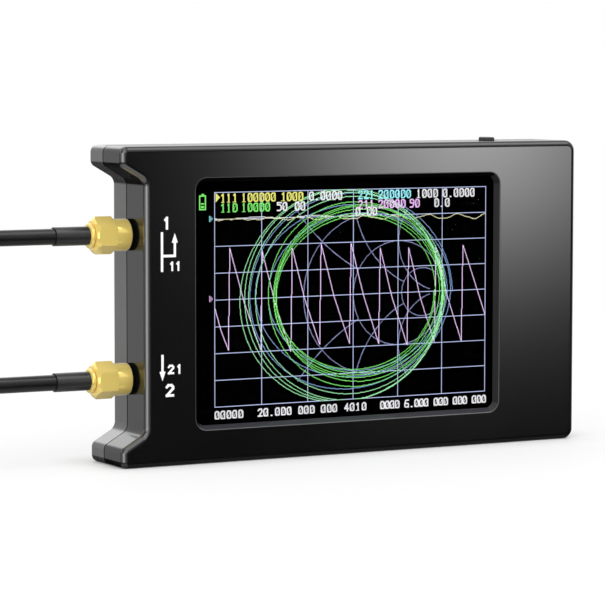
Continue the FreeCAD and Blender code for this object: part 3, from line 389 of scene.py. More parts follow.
GREEN_TURNS = [             # left, bottom, right and top reach of each turn on the grid
    (1.33, 6.86, 4.82, 1.10), (1.32, 6.95, 4.86, 0.98), (1.30, 7.05, 4.94, 0.86), (1.28, 7.17, 4.99, 0.74),
    (1.27, 7.30, 5.03, 0.62), (1.26, 7.42, 5.05, 0.55), (1.01, 7.75, 5.00, 0.44), (0.75, 8.00, 5.04, 0.21),
    (0.70, 8.02, 5.07, 0.05), (0.55, 8.10, 5.00, 0.01), (0.53, 8.15, 5.02, -0.05),
]
MINT_TURN = 6                       # from this turn on the green trace is drawn in mint
BLUE_TURNS = [
    (1.30, 6.9, 5.02, 1.0), (1.0, 7.02, 5.13, 0.86), (0.75, 7.44, 5.19, 0.44), (0.72, 8.02, 5.23, 0.05),
]
LOOP_RIPPLE = 0.006
RIPPLES_PER_TURN = 2.7
INK_OPENING = (-43.9, 40.2, 9.7, 68.6)
INK_INSET = 0.05            # from the touch panel's edge
INK_GAP = 0.01              # behind the panel's rear face
INK_DEPTH = 0.02


class Picture:
    """Lit pixels of the display. A later line lies over an earlier one, as on the real screen."""

    def __init__(self):
        self.lit = {}
        self.width = round((GRID_X1 - GRID_X0) / PIXEL)
        self.height = round((GRID_Z1 - GRID_Z0) / PIXEL)

    def place(self, column, row):
        """Pixel at a place given in grid columns from the left and grid rows from the top."""
        return column / COLUMNS * self.width, self.height - row / ROWS * self.height

    def dot(self, i, j, key, pen):
        """A square dot, pen pixels wide."""
        for di in range(pen):
            for dj in range(pen):
                self.lit[(i + di, j + dj)] = key

    def line(self, points, key, pen=1, clipped=False):
        """A line through pixel places, one pen wide, kept inside the grid where clipped."""
        for (x0, y0), (x1, y1) in zip(points, points[1:]):
            steps = max(1, math.ceil(max(abs(x1 - x0), abs(y1 - y0))))
            for s in range(steps + 1):
                i = round(x0 + (x1 - x0) * s / steps)
                j = round(y0 + (y1 - y0) * s / steps)
                inside = 0 <= i <= self.width and 0 <= j <= self.height
                if inside or not clipped:
                    self.dot(i, j, key, pen)

    def figures(self, text, column, row, key, high=FIGURE_HIGH, pitch=FIGURE_PITCH):
        """Plain figures whose lower left corner is at a place on the grid; noughts are crossed."""
        x0, y0 = self.place(column, row)
        for number, figure in enumerate(text):
            strokes = [(stroke, THICK_PEN) for stroke in FIGURES[figure]]
            if figure in EXTRA_STROKES:
                strokes.append((EXTRA_STROKES[figure], 1))
            for stroke, width in strokes:
                points = []
                for u, v in stroke:
                    x = x0 + number * pitch + u * (FIGURE_WIDE - THICK_PEN) / FIGURE_COLUMNS
                    points.append((x, y0 + v * (high - THICK_PEN) / FIGURE_ROWS))
                self.line(points, key, width)

    def runs(self, key):
        """Rectangles (i0, j0, i1, j1) that cover one colour's pixels."""
        rows = {}
        for (i, j), held in self.lit.items():
            if held == key:
                rows.setdefault(j, []).append(i)
        done = []
        open_runs = {}
        for j in range(min(rows), max(rows) + 2):
            spans = []
            for i in sorted(rows.get(j, [])):
                if spans and spans[-1][1] == i:
                    spans[-1][1] = i + 1
                else:
                    spans.append([i, i + 1])
            kept = {}
            for first, last in spans:
                kept[(first, last)] = open_runs.pop((first, last), j)
            done += [(first, start, last, j) for (first, last), start in open_runs.items()]
            open_runs = kept
        return done

    def build(self):
        """One thin piece for each colour."""
        for key in sorted(set(self.lit.values())):
            outlines = []
            for i0, j0, i1, j1 in self.runs(key):
                x0 = GRID_X0 + i0 * PIXEL + PIXEL_GAP
                x1 = GRID_X0 + i1 * PIXEL - PIXEL_GAP
                z0 = GRID_Z0 + j0 * PIXEL + PIXEL_GAP
                z1 = GRID_Z0 + j1 * PIXEL - PIXEL_GAP
                outlines.append([(x0, z0), (x1, z0), (x1, z1), (x0, z1)])
            plates("screen_" + key, outlines, LCD_Y, PICTURE_DEPTH, key)


def draw_grid(picture):
    for column in range(COLUMNS + 1):
        picture.line([picture.place(column, 0), picture.place(column, ROWS)], "lavender")
    for row in range(ROWS + 1):
        picture.line([picture.place(0, row), picture.place(COLUMNS, row)], "lavender")


def draw_chart(picture):
    """Circles of constant resistance and arcs of constant reactance, as on any impedance chart."""
    centre_x, centre_y = picture.place(COLUMNS / 2, ROWS / 2)
    radius = picture.height / 2
    steps = 90

    def arc(x, y, r, start, end):
        points = []
        for s in range(steps + 1):
            t = start + (end - start) * s / steps
            across, up = x + r * math.cos(t), y + r * math.sin(t)
            points.append((centre_x + radius * across, centre_y + radius * up))
        picture.line(points, "haze", clipped=True)

    def reflection_angle(resistance, reactance):
        """Where a resistance lies on a reactance's arc, as an angle about the arc's middle."""
        below = (resistance + 1) ** 2 + reactance**2
        x = (resistance**2 + reactance**2 - 1) / below
        y = 2 * reactance / below
        return math.atan2(y - 1 / reactance, x - 1)

    for resistance in (0.3, 1.0, 3.3):
        r = 1 / (1 + resistance)
        arc(1 - r, 0, r, 0, 2 * math.pi)
    for reactance, first, last in ((0.5, 0.0, 1.0), (1.0, 0.3, 3.3), (2.0, 0.0, 12.0)):
        start = reflection_angle(first, reactance)
        end = reflection_angle(last, reactance)
        start -= 2 * math.pi if start > 0 else 0
        end -= 2 * math.pi if end > 0 else 0
        arc(1, 1 / reactance, 1 / reactance, start, end)
        arc(1, -1 / reactance, 1 / reactance, -start, -end)


def draw_loops(picture, key, turns):
    """A trace round the chart. Each turn has its left, bottom, right and top reach on the grid."""
    points = []
    steps = 120
    total = steps * (len(turns) - 1)
    for s in range(total + 1):
        turn = min(s // steps, len(turns) - 2)
        share = 1.0 if s == total else s % steps / steps
        left, bottom, right, top = (a + (b - a) * share for a, b in zip(turns[turn], turns[turn + 1]))
        t = 2 * math.pi * s / steps
        middle_x, middle_y = (left + right) / 2, (top + bottom) / 2
        swell = 1 + LOOP_RIPPLE * math.sin(RIPPLES_PER_TURN * t)
        column = middle_x + (right - left) / 2 * math.cos(t) * swell
        row = middle_y + (bottom - top) / 2 * math.sin(t) * swell
        points.append(picture.place(column, row))
    picture.line(points, key, clipped=True)


def draw_sawtooth(picture):
    """A phase trace: it falls slowly and jumps back."""
    here = picture.place(0, TRACE_START)
    for column, low, top in TEETH:
        foot = picture.place(column, low)
        knee = (here[0] + (foot[0] - here[0]) * KNEE[0], here[1] + (foot[1] - here[1]) * KNEE[1])
        peak = picture.place(column + JUMP_LEAN, top)
        picture.line([here, knee, foot, peak], "violet")
        here = peak
    picture.line([here, picture.place(COLUMNS, TRACE_END)], "violet")


def wave(turns, share, start=0.0):
    """A wave with so many turns across the grid, at a share of the way across it."""
    return math.sin(2 * math.pi * turns * share + start)


def draw_level_traces(picture):
    """Two nearly level traces, one of which ripples more towards the right."""
    level_row, level_ripple, level_end = 0.98, 0.03, 0.55
    wavy_row, wavy_fall = 1.0, 0.14
    ripple_left, ripple_gain, fine_ripple = 0.02, 0.075, 0.02
    wavy = []
    level = []
    steps = 240
    for s in range(steps + 1):
        share = s / steps
        swell = ripple_left + ripple_gain * share
        ripple = swell * wave(8.6, share, 0.4) + fine_ripple * wave(20, share)
        wavy.append(picture.place(COLUMNS * share, wavy_row + wavy_fall * share + ripple))
        if share < level_end:
            level.append(picture.place(COLUMNS * share, level_row + level_ripple * wave(5, share)))
    picture.line(level, "white")
    picture.line(wavy, "cream")


def draw_signs(picture):
    """A battery sign beside the grid, and the traces' markers on its edge."""
    x0, y0 = (round(v) for v in picture.place(*BATTERY_SIGN))
    x1, y1 = x0 + BATTERY_WIDE, y0 + BATTERY_HIGH
    picture.line([(x0, y0), (x1, y0), (x1, y1), (x0, y1), (x0, y0)], "green", THICK_PEN)
    picture.line([(x0 + 4, y1 + 2), (x1 - 3, y1 + 2)], "green", THICK_PEN)
    for up in BATTERY_BARS:
        picture.line([(x0 + 3, y0 + up), (x1 - 2, y0 + up)], "green")
    for column, row, size, key in MARKERS:
        x, y = picture.place(column, row)
        for step in range(size + 1):
            picture.line([(x + step, y - size + step), (x + step, y + size - step)], key)


def draw_numbers(picture):
    """Three rows of plain figures at the grid's top and one below it."""
    first, second, third = 0.36, 0.73, 1.0
    for text, column, row, key in (
        ("111", 0.13, first, "yellow"), ("100000", 0.58, first, "yellow"), ("1000", 1.42, first, "yellow"),
        ("0.0000", 2.03, first, "white"), ("221", 3.11, first, "cyan"), ("200000", 3.56, first, "cyan"),
        ("1000", 4.42, first, "white"), ("0.0000", 5.02, first, "white"),
        ("110", 0.13, second, "green"), ("10000", 0.58, second, "green"), ("50", 1.33, second, "white"),
        ("00", 1.72, second, "white"), ("211", 3.11, second, "magenta"), ("20000", 3.56, second, "magenta"),
        ("90", 4.26, second, "magenta"), ("0.0", 4.82, second, "white"), ("0.00", 3.05, third, "white"),
    ):
        picture.figures(text, column, row, key)
    last = ROWS + 0.46
    for text, column, pitch in (
        ("00000", 0.0, FIGURE_PITCH), ("20.000 000 000", 0.92, FIGURE_PITCH), ("401", 2.81, FIGURE_PITCH),
        ("0", 3.2, FIGURE_PITCH), ("0000 6.000 000 000 000", 3.61, LONG_TEXT_PITCH),
    ):
        picture.figures(text, column, last, "white", LAST_ROW_HIGH, pitch)


def make_picture():
    """The whole picture; what is drawn later lies on top."""
    picture = Picture()
    draw_chart(picture)
    draw_grid(picture)
    draw_level_traces(picture)
    draw_sawtooth(picture)
    draw_loops(picture, "blue", BLUE_TURNS)
    draw_loops(picture, "green", GREEN_TURNS[:MINT_TURN + 1])
    draw_loops(picture, "mint", GREEN_TURNS[MINT_TURN:])
    draw_numbers(picture)
    draw_signs(picture)
    picture.build()


make_picture()


def make_ink_border():
    """The touch panel's black border, printed on its rear face."""
    low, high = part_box("touch_panel")
    x0, x1 = low[0] / MM + INK_INSET, high[0] / MM - INK_INSET
    z0, z1 = low[2] / MM + INK_INSET, high[2] / MM - INK_INSET
    rear = high[1] / MM + INK_GAP
    inner_x0, inner_x1, inner_z0, inner_z1 = INK_OPENING
    outlines = [
        [(x0, z0), (x1, z0), (inner_x1, inner_z0), (inner_x0, inner_z0)],
        [(x1, z0), (x1, z1), (inner_x1, inner_z1), (inner_x1, inner_z0)],
        [(x1, z1), (x0, z1), (inner_x0, inner_z1), (inner_x1, inner_z1)],
        [(x0, z1), (x0, z0), (inner_x0, inner_z0), (inner_x0, inner_z1)],
    ]
    plates("touch_ink", outlines, rear + INK_DEPTH, INK_DEPTH, "ink")


make_ink_border()

# ---------------------------------------------------------------- print on the front
FACE_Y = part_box("front_shell")[0][1] / MM
RECESS_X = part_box("port_1_gasket")[1][0] / MM
PORT_Z = {}
for number in PORTS:
    low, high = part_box("port_%d_gasket" % number)
    PORT_Z[number] = (low[2] + high[2]) / 2 / MM
PRINT_DEPTH = 0.02
PRINT_STEP, PRINT_LEVELS = 0.05, 4      # crossing strokes differ in depth, so that none share a plane
PRINT_LINE, SMALL_LINE = 0.62, 0.48
PORT_FIGURE, SMALL_FIGURE = 3.1, 2.3    # heights
FIGURE_SPACE = 2.2                      # between figures, in line widths
ARROW_HALF, ARROW_LENGTH = 0.8, 2.3
ARROW_DEPTH = PRINT_DEPTH * 1.3
STEM_REACH = 4.4                        # from the recess to the arrows' stems
BRANCH_REACH = 3.45                     # from the stem to the rising arrow


def bar(start, end, width):
    """The outline of a straight stroke between two (x, z) points."""
    run = (Vector(end) - Vector(start)).normalized() * width / 2
    side = Vector((run.y, -run.x))
    a, b = Vector(start) - run, Vector(end) + run
    return [tuple(a + side), tuple(b + side), tuple(b - side), tuple(a - side)]


def printed_lines(name, runs, width):
    """Printed strokes; the outlines of one run meet in square corners."""
    outlines = []
    for run in runs:
        outlines += [bar(a, b, width) for a, b in zip(run, run[1:])]
    for index, outline in enumerate(outlines):
        depth = PRINT_DEPTH * (1 + PRINT_STEP * (index % PRINT_LEVELS))
        plates("%s_%02d" % (name, index), [outline], FACE_Y, depth, "print")


def printed_figure(name, text, x, z, high, width):
    """Plain printed figures with their lower left corner at (x, z)."""
    unit = (high - width) / FIGURE_ROWS
    columns = ONE_COLUMNS if set(text) == {"1"} else FIGURE_COLUMNS
    runs = []
    for number, figure in enumerate(text):
        x0 = x + width / 2 + number * (columns * unit + FIGURE_SPACE * width)
        for stroke in FIGURES[figure]:
            runs.append([(x0 + u * unit, z + width / 2 + v * unit) for u, v in stroke])
    printed_lines(name, runs, width)


def arrow_head(name, x, tip, pointing):
    """A slim head whose tip is at height tip; pointing is 1 upwards and -1 downwards."""
    base = tip - pointing * ARROW_LENGTH
    outline = [(x - ARROW_HALF, base), (x + ARROW_HALF, base), (x, tip)]
    if pointing < 0:
        outline.reverse()
    plates(name, [outline], FACE_Y, ARROW_DEPTH, "print")


def front_print():
    """A number for each port, a forked rising arrow for the first and a falling one for the second."""
    stem_x = RECESS_X + STEM_REACH
    branch_x = stem_x + BRANCH_REACH
    top = PORT_Z[1] + 0.6
    stem = [(stem_x, top - 9.0), (stem_x, top)]
    branch = [(stem_x, top - 5.5), (branch_x, top - 5.5), (branch_x, top - 2.0)]
    down_x = stem_x + 0.05
    down = [(down_x, PORT_Z[2] + 6.1), (down_x, PORT_Z[2] + 1.9)]
    printed_figure("print_port_1", "1", stem_x + 0.2, top + 0.9, PORT_FIGURE, PRINT_LINE)
    printed_figure("print_port_2", "2", stem_x + 0.9, PORT_Z[2] - 3.9, PORT_FIGURE, PRINT_LINE)
    printed_lines("print_up", [stem, branch], PRINT_LINE)
    arrow_head("print_up_head", branch_x, top, 1)
    printed_figure("print_reflected", "11", stem_x + 1.9, top - 9.2, SMALL_FIGURE, SMALL_LINE)
    printed_lines("print_down", [down], PRINT_LINE)
    arrow_head("print_down_head", down_x, PORT_Z[2], -1)
    printed_figure("print_through", "21", stem_x + 1.5, PORT_Z[2] + 1.6, SMALL_FIGURE, SMALL_LINE)


front_print()

# ---------------------------------------------------------------- faces of the case with painted light and shade
WINDOW = (-45.5, 42.0, 8.3, 70.2)   # left, right, bottom and top, with room round the bevel
BEVEL_DEPTH = 1.5
BEVEL_SLOPE = (-0.62, -0.5)         # each slope bounds the faces' normals along y
RIM_REACH = 0.3
RIM_SLOPE = (-0.99, -0.62)
SEAM_Y = FACE_Y + 10.6
SEAM_REACH = 0.24
SEAM_SLOPE = (0.5, 0.9)             # either way along y
EDGE_X = -50.0
EDGE_DEPTH = 3.0
EDGE_SLOPE = (-0.98, -0.15)


def paint_faces(node, key, chosen):
    """Gives the faces that chosen(x, y, z, normal) picks, in millimetres, another finish."""
    mesh = nodes[node].data
    mesh.materials.append(FINISHES[key])
    slot = len(mesh.materials) - 1
    for polygon in mesh.polygons:
        x, y, z = (v / MM for v in nodes[node].matrix_world @ polygon.center)
        if chosen(x, y, z, polygon.normal):
            polygon.material_index = slot


def in_bevel(x, y, z, normal):
    """The window's bevel, all round."""
    x0, x1, z0, z1 = WINDOW
    inside = x0 < x < x1 and z0 < z < z1 and FACE_Y < y < FACE_Y + BEVEL_DEPTH
    return inside and BEVEL_SLOPE[0] < normal.y < BEVEL_SLOPE[1]


def in_low_bevel(x, y, z, normal):
    """The bevel's lower side, which faces up, painted lighter and bluish: painted light, with a painted
    reflection of the screen.
    """
    return in_bevel(x, y, z, normal) and normal.z > 0.4


def in_shaded_bevel(x, y, z, normal):
    """The bevel's upper side, which faces down, and its left side, which faces right, painted near black and
    without gloss as painted shade.
    """
    faces_down = normal.z < -0.2
    faces_right = normal.x > 0.2 and normal.x > normal.z > -0.3
    return in_bevel(x, y, z, normal) and (faces_down or faces_right)


def in_right_bevel(x, y, z, normal):
    """The bevel's right side, which faces left, painted dim grey with little gloss as painted shade."""
    return in_bevel(x, y, z, normal) and normal.x < -0.4


def in_bevel_turn(x, y, z, normal):
    """The bevel's lower right corner, painted lighter as painted light where the lit lower side turns into
    the shaded right side.
    """
    return in_bevel(x, y, z, normal) and normal.x < -0.25 and normal.z > 0.25


def in_rim(x, y, z, normal):
    """The narrow rounding where the front turns into the window's bevel, painted light grey as a painted
    highlight.
    """
    x0, x1, z0, z1 = WINDOW
    inside = x0 - RIM_REACH < x < x1 + RIM_REACH and z0 - RIM_REACH < z < z1 + RIM_REACH
    return inside and FACE_Y < y < FACE_Y + RIM_REACH and RIM_SLOPE[0] < normal.y < RIM_SLOPE[1]


def in_left_edge(x, y, z, normal):
    """The rounded edge between the front and the recessed side, horns included, painted lighter and glossier
    as a painted highlight.
    """
    beside = x < EDGE_X and FACE_Y < y < FACE_Y + EDGE_DEPTH
    return beside and normal.x < -0.2 and EDGE_SLOPE[0] < normal.y < EDGE_SLOPE[1]


def in_seam(x, y, z, normal):
    """The small chamfers where the two shells meet, painted black and matt as the painted shade in the groove
    between them.
    """
    return abs(y - SEAM_Y) < SEAM_REACH and SEAM_SLOPE[0] < abs(normal.y) < SEAM_SLOPE[1]


for node, key, chosen in (      # a later line wins where two pick the same face
    ("front_shell", "bevel_low_painted_light", in_low_bevel),
    ("front_shell", "bevel_painted_shade", in_shaded_bevel),
    ("front_shell", "bevel_side_painted_shade", in_right_bevel),
    ("front_shell", "bevel_turn_painted_light", in_bevel_turn),
    ("front_shell", "rim_painted_highlight", in_rim),
    ("front_shell", "edge_painted_highlight", in_left_edge),
    ("front_shell", "seam", in_seam),
    ("rear_shell", "seam", in_seam),
):
    paint_faces(node, key, chosen)

# ---------------------------------------------------------------- worn edges of the nuts
NUT_EDGE = 0.14
NUT_EDGE_STEPS = 2
NUT_EDGE_ANGLE = 25         # degrees; sharper turns than this are softened
for number in PORTS:
    for part in ("nut", "far_nut"):
        soften = nodes["lead_%d_%s" % (number, part)].modifiers.new("worn_edges", "BEVEL")
        soften.width = NUT_EDGE * MM
        soften.segments = NUT_EDGE_STEPS
        soften.limit_method = "ANGLE"
        soften.angle_limit = math.radians(NUT_EDGE_ANGLE)

# ---------------------------------------------------------------- leads
CABLE_DIAMETER = 3.9
CABLE_STEPS, CABLE_ROUNDNESS = 24, 8
ROUTES = {
    1: [
        (-70.2, -0.1, 56.3), (-92.2, -0.1, 56.3), (-111.0, -0.1, 56.3), (-138.0, 2.6, 20.0),
        (-171.0, 5.4, 2.03), (-194.0, 6.4, 2.03), (-212.5, 6.5, 4.67), (-227.5, 6.5, 4.67),
    ],
    2: [
        (-70.2, -0.1, 21.0), (-92.2, -0.1, 21.0), (-111.0, -0.1, 21.0), (-148.5, -3.0, 5.0),
        (-178.0, -5.6, 2.03), (-207.0, -6.4, 2.03), (-229.0, -6.5, 4.67), (-246.2, -6.5, 4.67),
    ],
}


def make_lead(number):
    """The cable as one smooth curve, riding on the lead's body with the plugs and nuts, in place of the
    imported cable.
    """
    points = [tuple(v * MM for v in point) for point in ROUTES[number]]
    name = "lead_%d_jacket" % number
    data = bpy.data.curves.new(name, "CURVE")
    data.dimensions = "3D"
    data.resolution_u = CABLE_STEPS
    data.bevel_depth = CABLE_DIAMETER / 2 * MM
    data.bevel_resolution = CABLE_ROUNDNESS
    data.use_fill_caps = True
    spline = data.splines.new("NURBS")
    spline.points.add(len(points) - 1)
    for target, point in zip(spline.points, points):
        target.co = (*point, 1.0)
    spline.order_u = 3
    spline.use_endpoint_u = True
    obj = new_piece(name, data, "jacket", "lead_%d" % number)
    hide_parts("lead_%d_cable" % number)


for number in PORTS:
    make_lead(number)

# ---------------------------------------------------------------- floor, light and camera
CAMERA_PLACE = (-0.3771730, -0.6684589, 0.0986315)
CAMERA_AZIMUTH, CAMERA_PITCH, CAMERA_ROLL = 28.73, 4.557, 0.056
CAMERA_LENS = 180.69
SHADES_BY_HEIGHT = [        # what glossy surfaces mirror, from straight down (0) to straight up (1)
    (0.0, 0.64), (0.225, 0.64), (0.26, 0.03), (0.40, 0.03), (0.44, 0.8), (0.6, 0.8), (0.75, 1.0), (1.0, 1.0),
]
# Each spread has the cosines at which a shape starts and at which it is full.
CARD_SIDE = (0.52, -0.85, 0.0)      # a black card that keeps the front's reflections dark
CARD_SPREAD = (0.45, 0.80)
CARD_SHADE = 0.03
CARD_TOP, CARD_FOOT, CARD_SOFT = 0.13, -0.62, 0.07
GAP_SIDE = (-0.858, 0.508, 0.0)     # a dark gap beside the left softbox
GAP_SPREAD = (0.95, 0.985)
GAP_SHADE = 0.15
STRIP_SIDE = (-0.87, -0.49, 0.0)    # the left softbox
STRIP_SPREAD = (0.93, 0.98)
STRIP_LIGHT = 1.7
FLAG_SIDE = (-0.76, -0.20, 0.62)    # a black flag over it
FLAG_SPREAD = (0.80, 0.93)
FLAG_SHADE = 0.12
PATCH_SIDE = (0.18, 0.87, 0.46)     # a softbox behind the case, high up
PATCH_SPREAD = (0.93, 0.98)
PATCH_LIGHT = 1.4
FILL_SIDE = (-0.35, -0.35, 0.87)    # where most of the soft light comes from
FILL_SPREAD = (0.1, 0.9)
FILL_LOW, FILL_HIGH = 0.45, 1.8
FOOTPRINT = (0.0653, 0.0093, 0.0)   # half the case's base, in metres
FLOOR_REACH = 6.0
VEIL = [                            # how white the camera sees the floor, by its distance from the case; partly painted shade, as close to the case more of the lit paper shows, which carries the case's real shadow and is a little greyer than the white further out
    (0.0, 0.10), (0.002, 0.2), (0.010, 0.62), (0.03, 0.62), (0.08, 0.7), (0.4, 0.97),
]
UNDER_CASE = (0.0, 0.003)           # where the painted shadow that glossy surfaces see on the floor under the case goes from dark to clear
UNDER_CLEAR = 0.2                   # how clear it is where it is darkest
GLOW_PLACE = (0.454, -0.6885, 0.0754)
GLOW_TARGET = (0.033, -0.009, 0.076)
GLOW_RADIUS = 0.072                 # metres, where the glow has fallen to 1/e
GLOW_REACH = 0.24
GLOW_LIGHT = 10.2
LAMP_TARGET = (0.0, 0.0, 0.04)
LAMPS = (                           # name, place, width, height and power, in metres and watts
    ("overhead", (0.55, -0.36, 1.0), 0.7, 0.7, 4.4),
    ("upper_left", (-0.8, -0.62, 0.75), 0.6, 0.8, 1.8),
)


class Studio:
    """The shades of the studio round the object, as a function of direction."""

    def __init__(self, tree, direction):
        self.tree = tree
        self.direction = direction
        split = tree.nodes.new("ShaderNodeSeparateXYZ")
        tree.links.new(direction, split.inputs["Vector"])
        self.height = split.outputs["Z"]

    def math(self, operation, a, b):
        """A sum or product; each side is a number or another node's output."""
        node = self.tree.nodes.new("ShaderNodeMath")
        node.operation = operation
        for socket, value in zip(node.inputs, (a, b)):
            if isinstance(value, float):
                socket.default_value = value
            else:
                self.tree.links.new(value, socket)
        return node.outputs["Value"]

    def fade(self, value, start, end, low=0.0, high=1.0):
        """Goes softly from low to high as the value goes from start to end."""
        node = self.tree.nodes.new("ShaderNodeMapRange")
        node.interpolation_type = "SMOOTHSTEP"
        for key, number in (("From Min", start), ("From Max", end), ("To Min", low), ("To Max", high)):
            node.inputs[key].default_value = number
        self.tree.links.new(value, node.inputs["Value"])
        return node.outputs["Result"]

    def towards(self, side, spread):
        """1 towards a side and 0 away from it."""
        dot = self.tree.nodes.new("ShaderNodeVectorMath")
        dot.operation = "DOT_PRODUCT"
        dot.inputs[1].default_value = side
        self.tree.links.new(self.direction, dot.inputs[0])
        return self.fade(dot.outputs["Value"], *spread)

    def without(self, shade, share, left):
        """The shade where share is 0, and only the left part of it where share is 1."""
        return self.math("MULTIPLY", shade, self.fade(share, 0.0, 1.0, 1.0, left))

    def build(self):
        """The light that glossy surfaces mirror from each direction."""
        ramp = self.tree.nodes.new("ShaderNodeValToRGB")
        set_stops(ramp, SHADES_BY_HEIGHT)
        half = self.math("MULTIPLY", self.height, 0.5)
        self.tree.links.new(self.math("ADD", half, 0.5), ramp.inputs["Fac"])
        under_top = self.fade(self.height, CARD_TOP + CARD_SOFT, CARD_TOP - CARD_SOFT)
        over_foot = self.fade(self.height, CARD_FOOT - CARD_SOFT, CARD_FOOT + CARD_SOFT)
        card = self.math("MULTIPLY", self.towards(CARD_SIDE, CARD_SPREAD), under_top)
        card = self.math("MULTIPLY", card, over_foot)
        shade = self.without(ramp.outputs["Color"], card, CARD_SHADE)
        shade = self.without(shade, self.towards(GAP_SIDE, GAP_SPREAD), GAP_SHADE)
        shade = self.without(shade, self.towards(FLAG_SIDE, FLAG_SPREAD), FLAG_SHADE)
        strip = self.math("MULTIPLY", self.towards(STRIP_SIDE, STRIP_SPREAD), STRIP_LIGHT)
        patch = self.math("MULTIPLY", self.towards(PATCH_SIDE, PATCH_SPREAD), PATCH_LIGHT)
        return self.math("ADD", shade, self.math("ADD", strip, patch))


def flat_square(name, reach):
    """A flat square object that reaches so far each way, in metres, with no finish yet."""
    corners = [(-reach, -reach, 0), (reach, -reach, 0), (reach, reach, 0), (-reach, reach, 0)]
    mesh = bpy.data.meshes.new(name)
    mesh.from_pydata(corners, [], [(0, 1, 2, 3)])
    obj = bpy.data.objects.new(name, mesh)
    scene.collection.objects.link(obj)
    return obj


def distance_from_case(n):
    """How far a point of the floor is from the case's base, in metres."""
    value = n.add("ShaderNodeTexCoord").outputs["Object"]
    steps = (("ABSOLUTE", None), ("SUBTRACT", FOOTPRINT), ("MAXIMUM", (0, 0, 0)), ("LENGTH", None))
    for operation, other in steps:
        step = n.add("ShaderNodeVectorMath")
        step.operation = operation
        n.join(value, step.inputs[0])
        if other:
            step.inputs[1].default_value = other
        value = step.outputs["Value" if operation == "LENGTH" else "Vector"]
    return value


def make_floor():
    """White paper, brighter to the camera than it is lit, and open to what glossy surfaces mirror, save for a
    painted shadow close under the case.
    """
    obj = flat_square("floor", FLOOR_REACH)
    n = Nodes("floor_paper")
    n.join(n.ramp(n.noise(3.0), [(0.3, 0.67), (0.7, 0.69)]), n.shader.inputs["Base Color"])
    n.set(Roughness=0.6, Specular_IOR_Level=0.2)
    distance = distance_from_case(n)
    path = n.add("ShaderNodeLightPath")
    seen = n.add("ShaderNodeMath")
    seen.operation = "MULTIPLY"
    n.join(n.ramp(distance, VEIL), seen.inputs[0])
    n.join(path.outputs["Is Camera Ray"], seen.inputs[1])
    white = n.add("ShaderNodeEmission", Strength=1.0)
    paper = mix(n.tree, seen.outputs["Value"], n.shader.outputs["BSDF"], white.outputs["Emission"])
    # Painted shadow: to glossy surfaces the floor is black close under the case, and clear further out.
    under = n.add("ShaderNodeMapRange", From_Min=UNDER_CASE[0], From_Max=UNDER_CASE[1], To_Min=UNDER_CLEAR)
    n.join(distance, under.inputs["Value"])
    clear = n.add("ShaderNodeBsdfTransparent")
    dark = n.add("ShaderNodeEmission", Strength=0.0)
    mirrored = mix(n.tree, under.outputs["Result"], dark.outputs["Emission"], clear.outputs["BSDF"])
    n.join(mix(n.tree, path.outputs["Is Glossy Ray"], paper, mirrored), n.out.inputs["Surface"])
    obj.data.materials.append(n.material)


def make_world():
    """White to the camera; to glossy surfaces, the studio's shades; otherwise plain soft light."""
    world = bpy.data.worlds.new("studio")
    scene.world = world
    world.use_nodes = True
    tree = world.node_tree
    tree.nodes.clear()
    out = tree.nodes.new("ShaderNodeOutputWorld")
    path = tree.nodes.new("ShaderNodeLightPath")
    place = tree.nodes.new("ShaderNodeTexCoord")
    seen, soft, mirrored = (tree.nodes.new("ShaderNodeBackground") for _ in range(3))
    for shade in (seen, soft, mirrored):
        shade.inputs["Color"].default_value = (1, 1, 1, 1)
    seen.inputs["Strength"].default_value = 1.0
    studio = Studio(tree, place.outputs["Generated"])
    tree.links.new(studio.build(), mirrored.inputs["Strength"])
    fill = studio.fade(studio.towards(FILL_SIDE, FILL_SPREAD), 0.0, 1.0, FILL_LOW, FILL_HIGH)
    tree.links.new(fill, soft.inputs["Strength"])
    lit = mix(tree, path.outputs["Is Glossy Ray"], soft.outputs["Background"], mirrored.outputs["Background"])
    every = mix(tree, path.outputs["Is Camera Ray"], lit, seen.outputs["Background"])
    tree.links.new(every, out.inputs["Surface"])


def make_lamp(name, place, width, height, power):
    """A softbox aimed at the middle of the case."""
    data = bpy.data.lights.new(name, "AREA")
    data.shape = "RECTANGLE"
    data.size = width
    data.size_y = height
    data.energy = power
    obj = bpy.data.objects.new(name, data)
    scene.collection.objects.link(obj)
    obj.location = place
    obj.rotation_euler = (Vector(LAMP_TARGET) - Vector(place)).to_track_quat("-Z", "Y").to_euler()
    obj.visible_camera = False


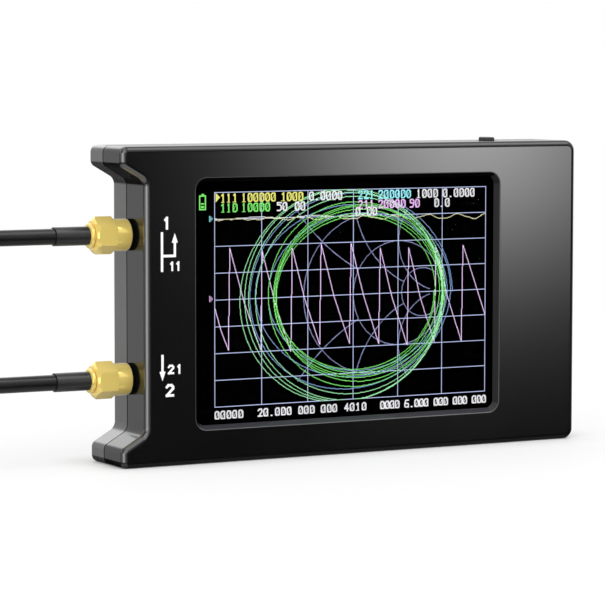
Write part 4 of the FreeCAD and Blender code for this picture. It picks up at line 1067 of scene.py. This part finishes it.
def make_glow():
    """A round soft light that the front mirrors: bright in its middle and fading outwards."""
    obj = flat_square("glow_card", GLOW_REACH)
    obj.location = GLOW_PLACE
    obj.rotation_euler = (Vector(GLOW_TARGET) - Vector(GLOW_PLACE)).to_track_quat("Z", "Y").to_euler()
    n = Nodes("glow_card")
    place = n.coords((1 / GLOW_RADIUS, 1 / GLOW_RADIUS, 1))
    square = n.add("ShaderNodeVectorMath")
    square.operation = "DOT_PRODUCT"
    n.join(place, square.inputs[0])
    n.join(place, square.inputs[1])
    fall = n.add("ShaderNodeMath")
    fall.operation = "POWER"
    fall.inputs[0].default_value = math.exp(-1)
    n.join(square.outputs["Value"], fall.inputs[1])
    light = n.add("ShaderNodeMath")
    light.operation = "MULTIPLY"
    light.inputs[1].default_value = GLOW_LIGHT
    n.join(fall.outputs["Value"], light.inputs[0])
    shine = n.add("ShaderNodeEmission")
    n.join(light.outputs["Value"], shine.inputs["Strength"])
    n.join(shine.outputs["Emission"], n.out.inputs["Surface"])
    obj.data.materials.append(n.material)
    obj.visible_camera = False


def make_camera():
    """The camera at the photograph's viewing angle."""
    azimuth, pitch, roll = (math.radians(v) for v in (CAMERA_AZIMUTH, CAMERA_PITCH, CAMERA_ROLL))
    level = math.cos(pitch)
    look = Vector((math.sin(azimuth) * level, math.cos(azimuth) * level, -math.sin(pitch)))
    side = Vector((math.cos(azimuth), -math.sin(azimuth), 0.0))
    up = side.cross(look)
    right = side * math.cos(roll) + up * math.sin(roll)
    up = up * math.cos(roll) - side * math.sin(roll)
    data = bpy.data.cameras.new("camera")
    data.sensor_width = 36.0
    data.lens = CAMERA_LENS
    data.clip_start = 0.05
    data.clip_end = 50.0
    obj = bpy.data.objects.new("camera", data)
    scene.collection.objects.link(obj)
    obj.matrix_world = Matrix.Translation(CAMERA_PLACE) @ Matrix((right, up, -look)).transposed().to_4x4()
    scene.camera = obj


make_floor()
make_world()
make_camera()
make_glow()
for settings in LAMPS:
    make_lamp(*settings)
scene.view_settings.view_transform = "Standard"
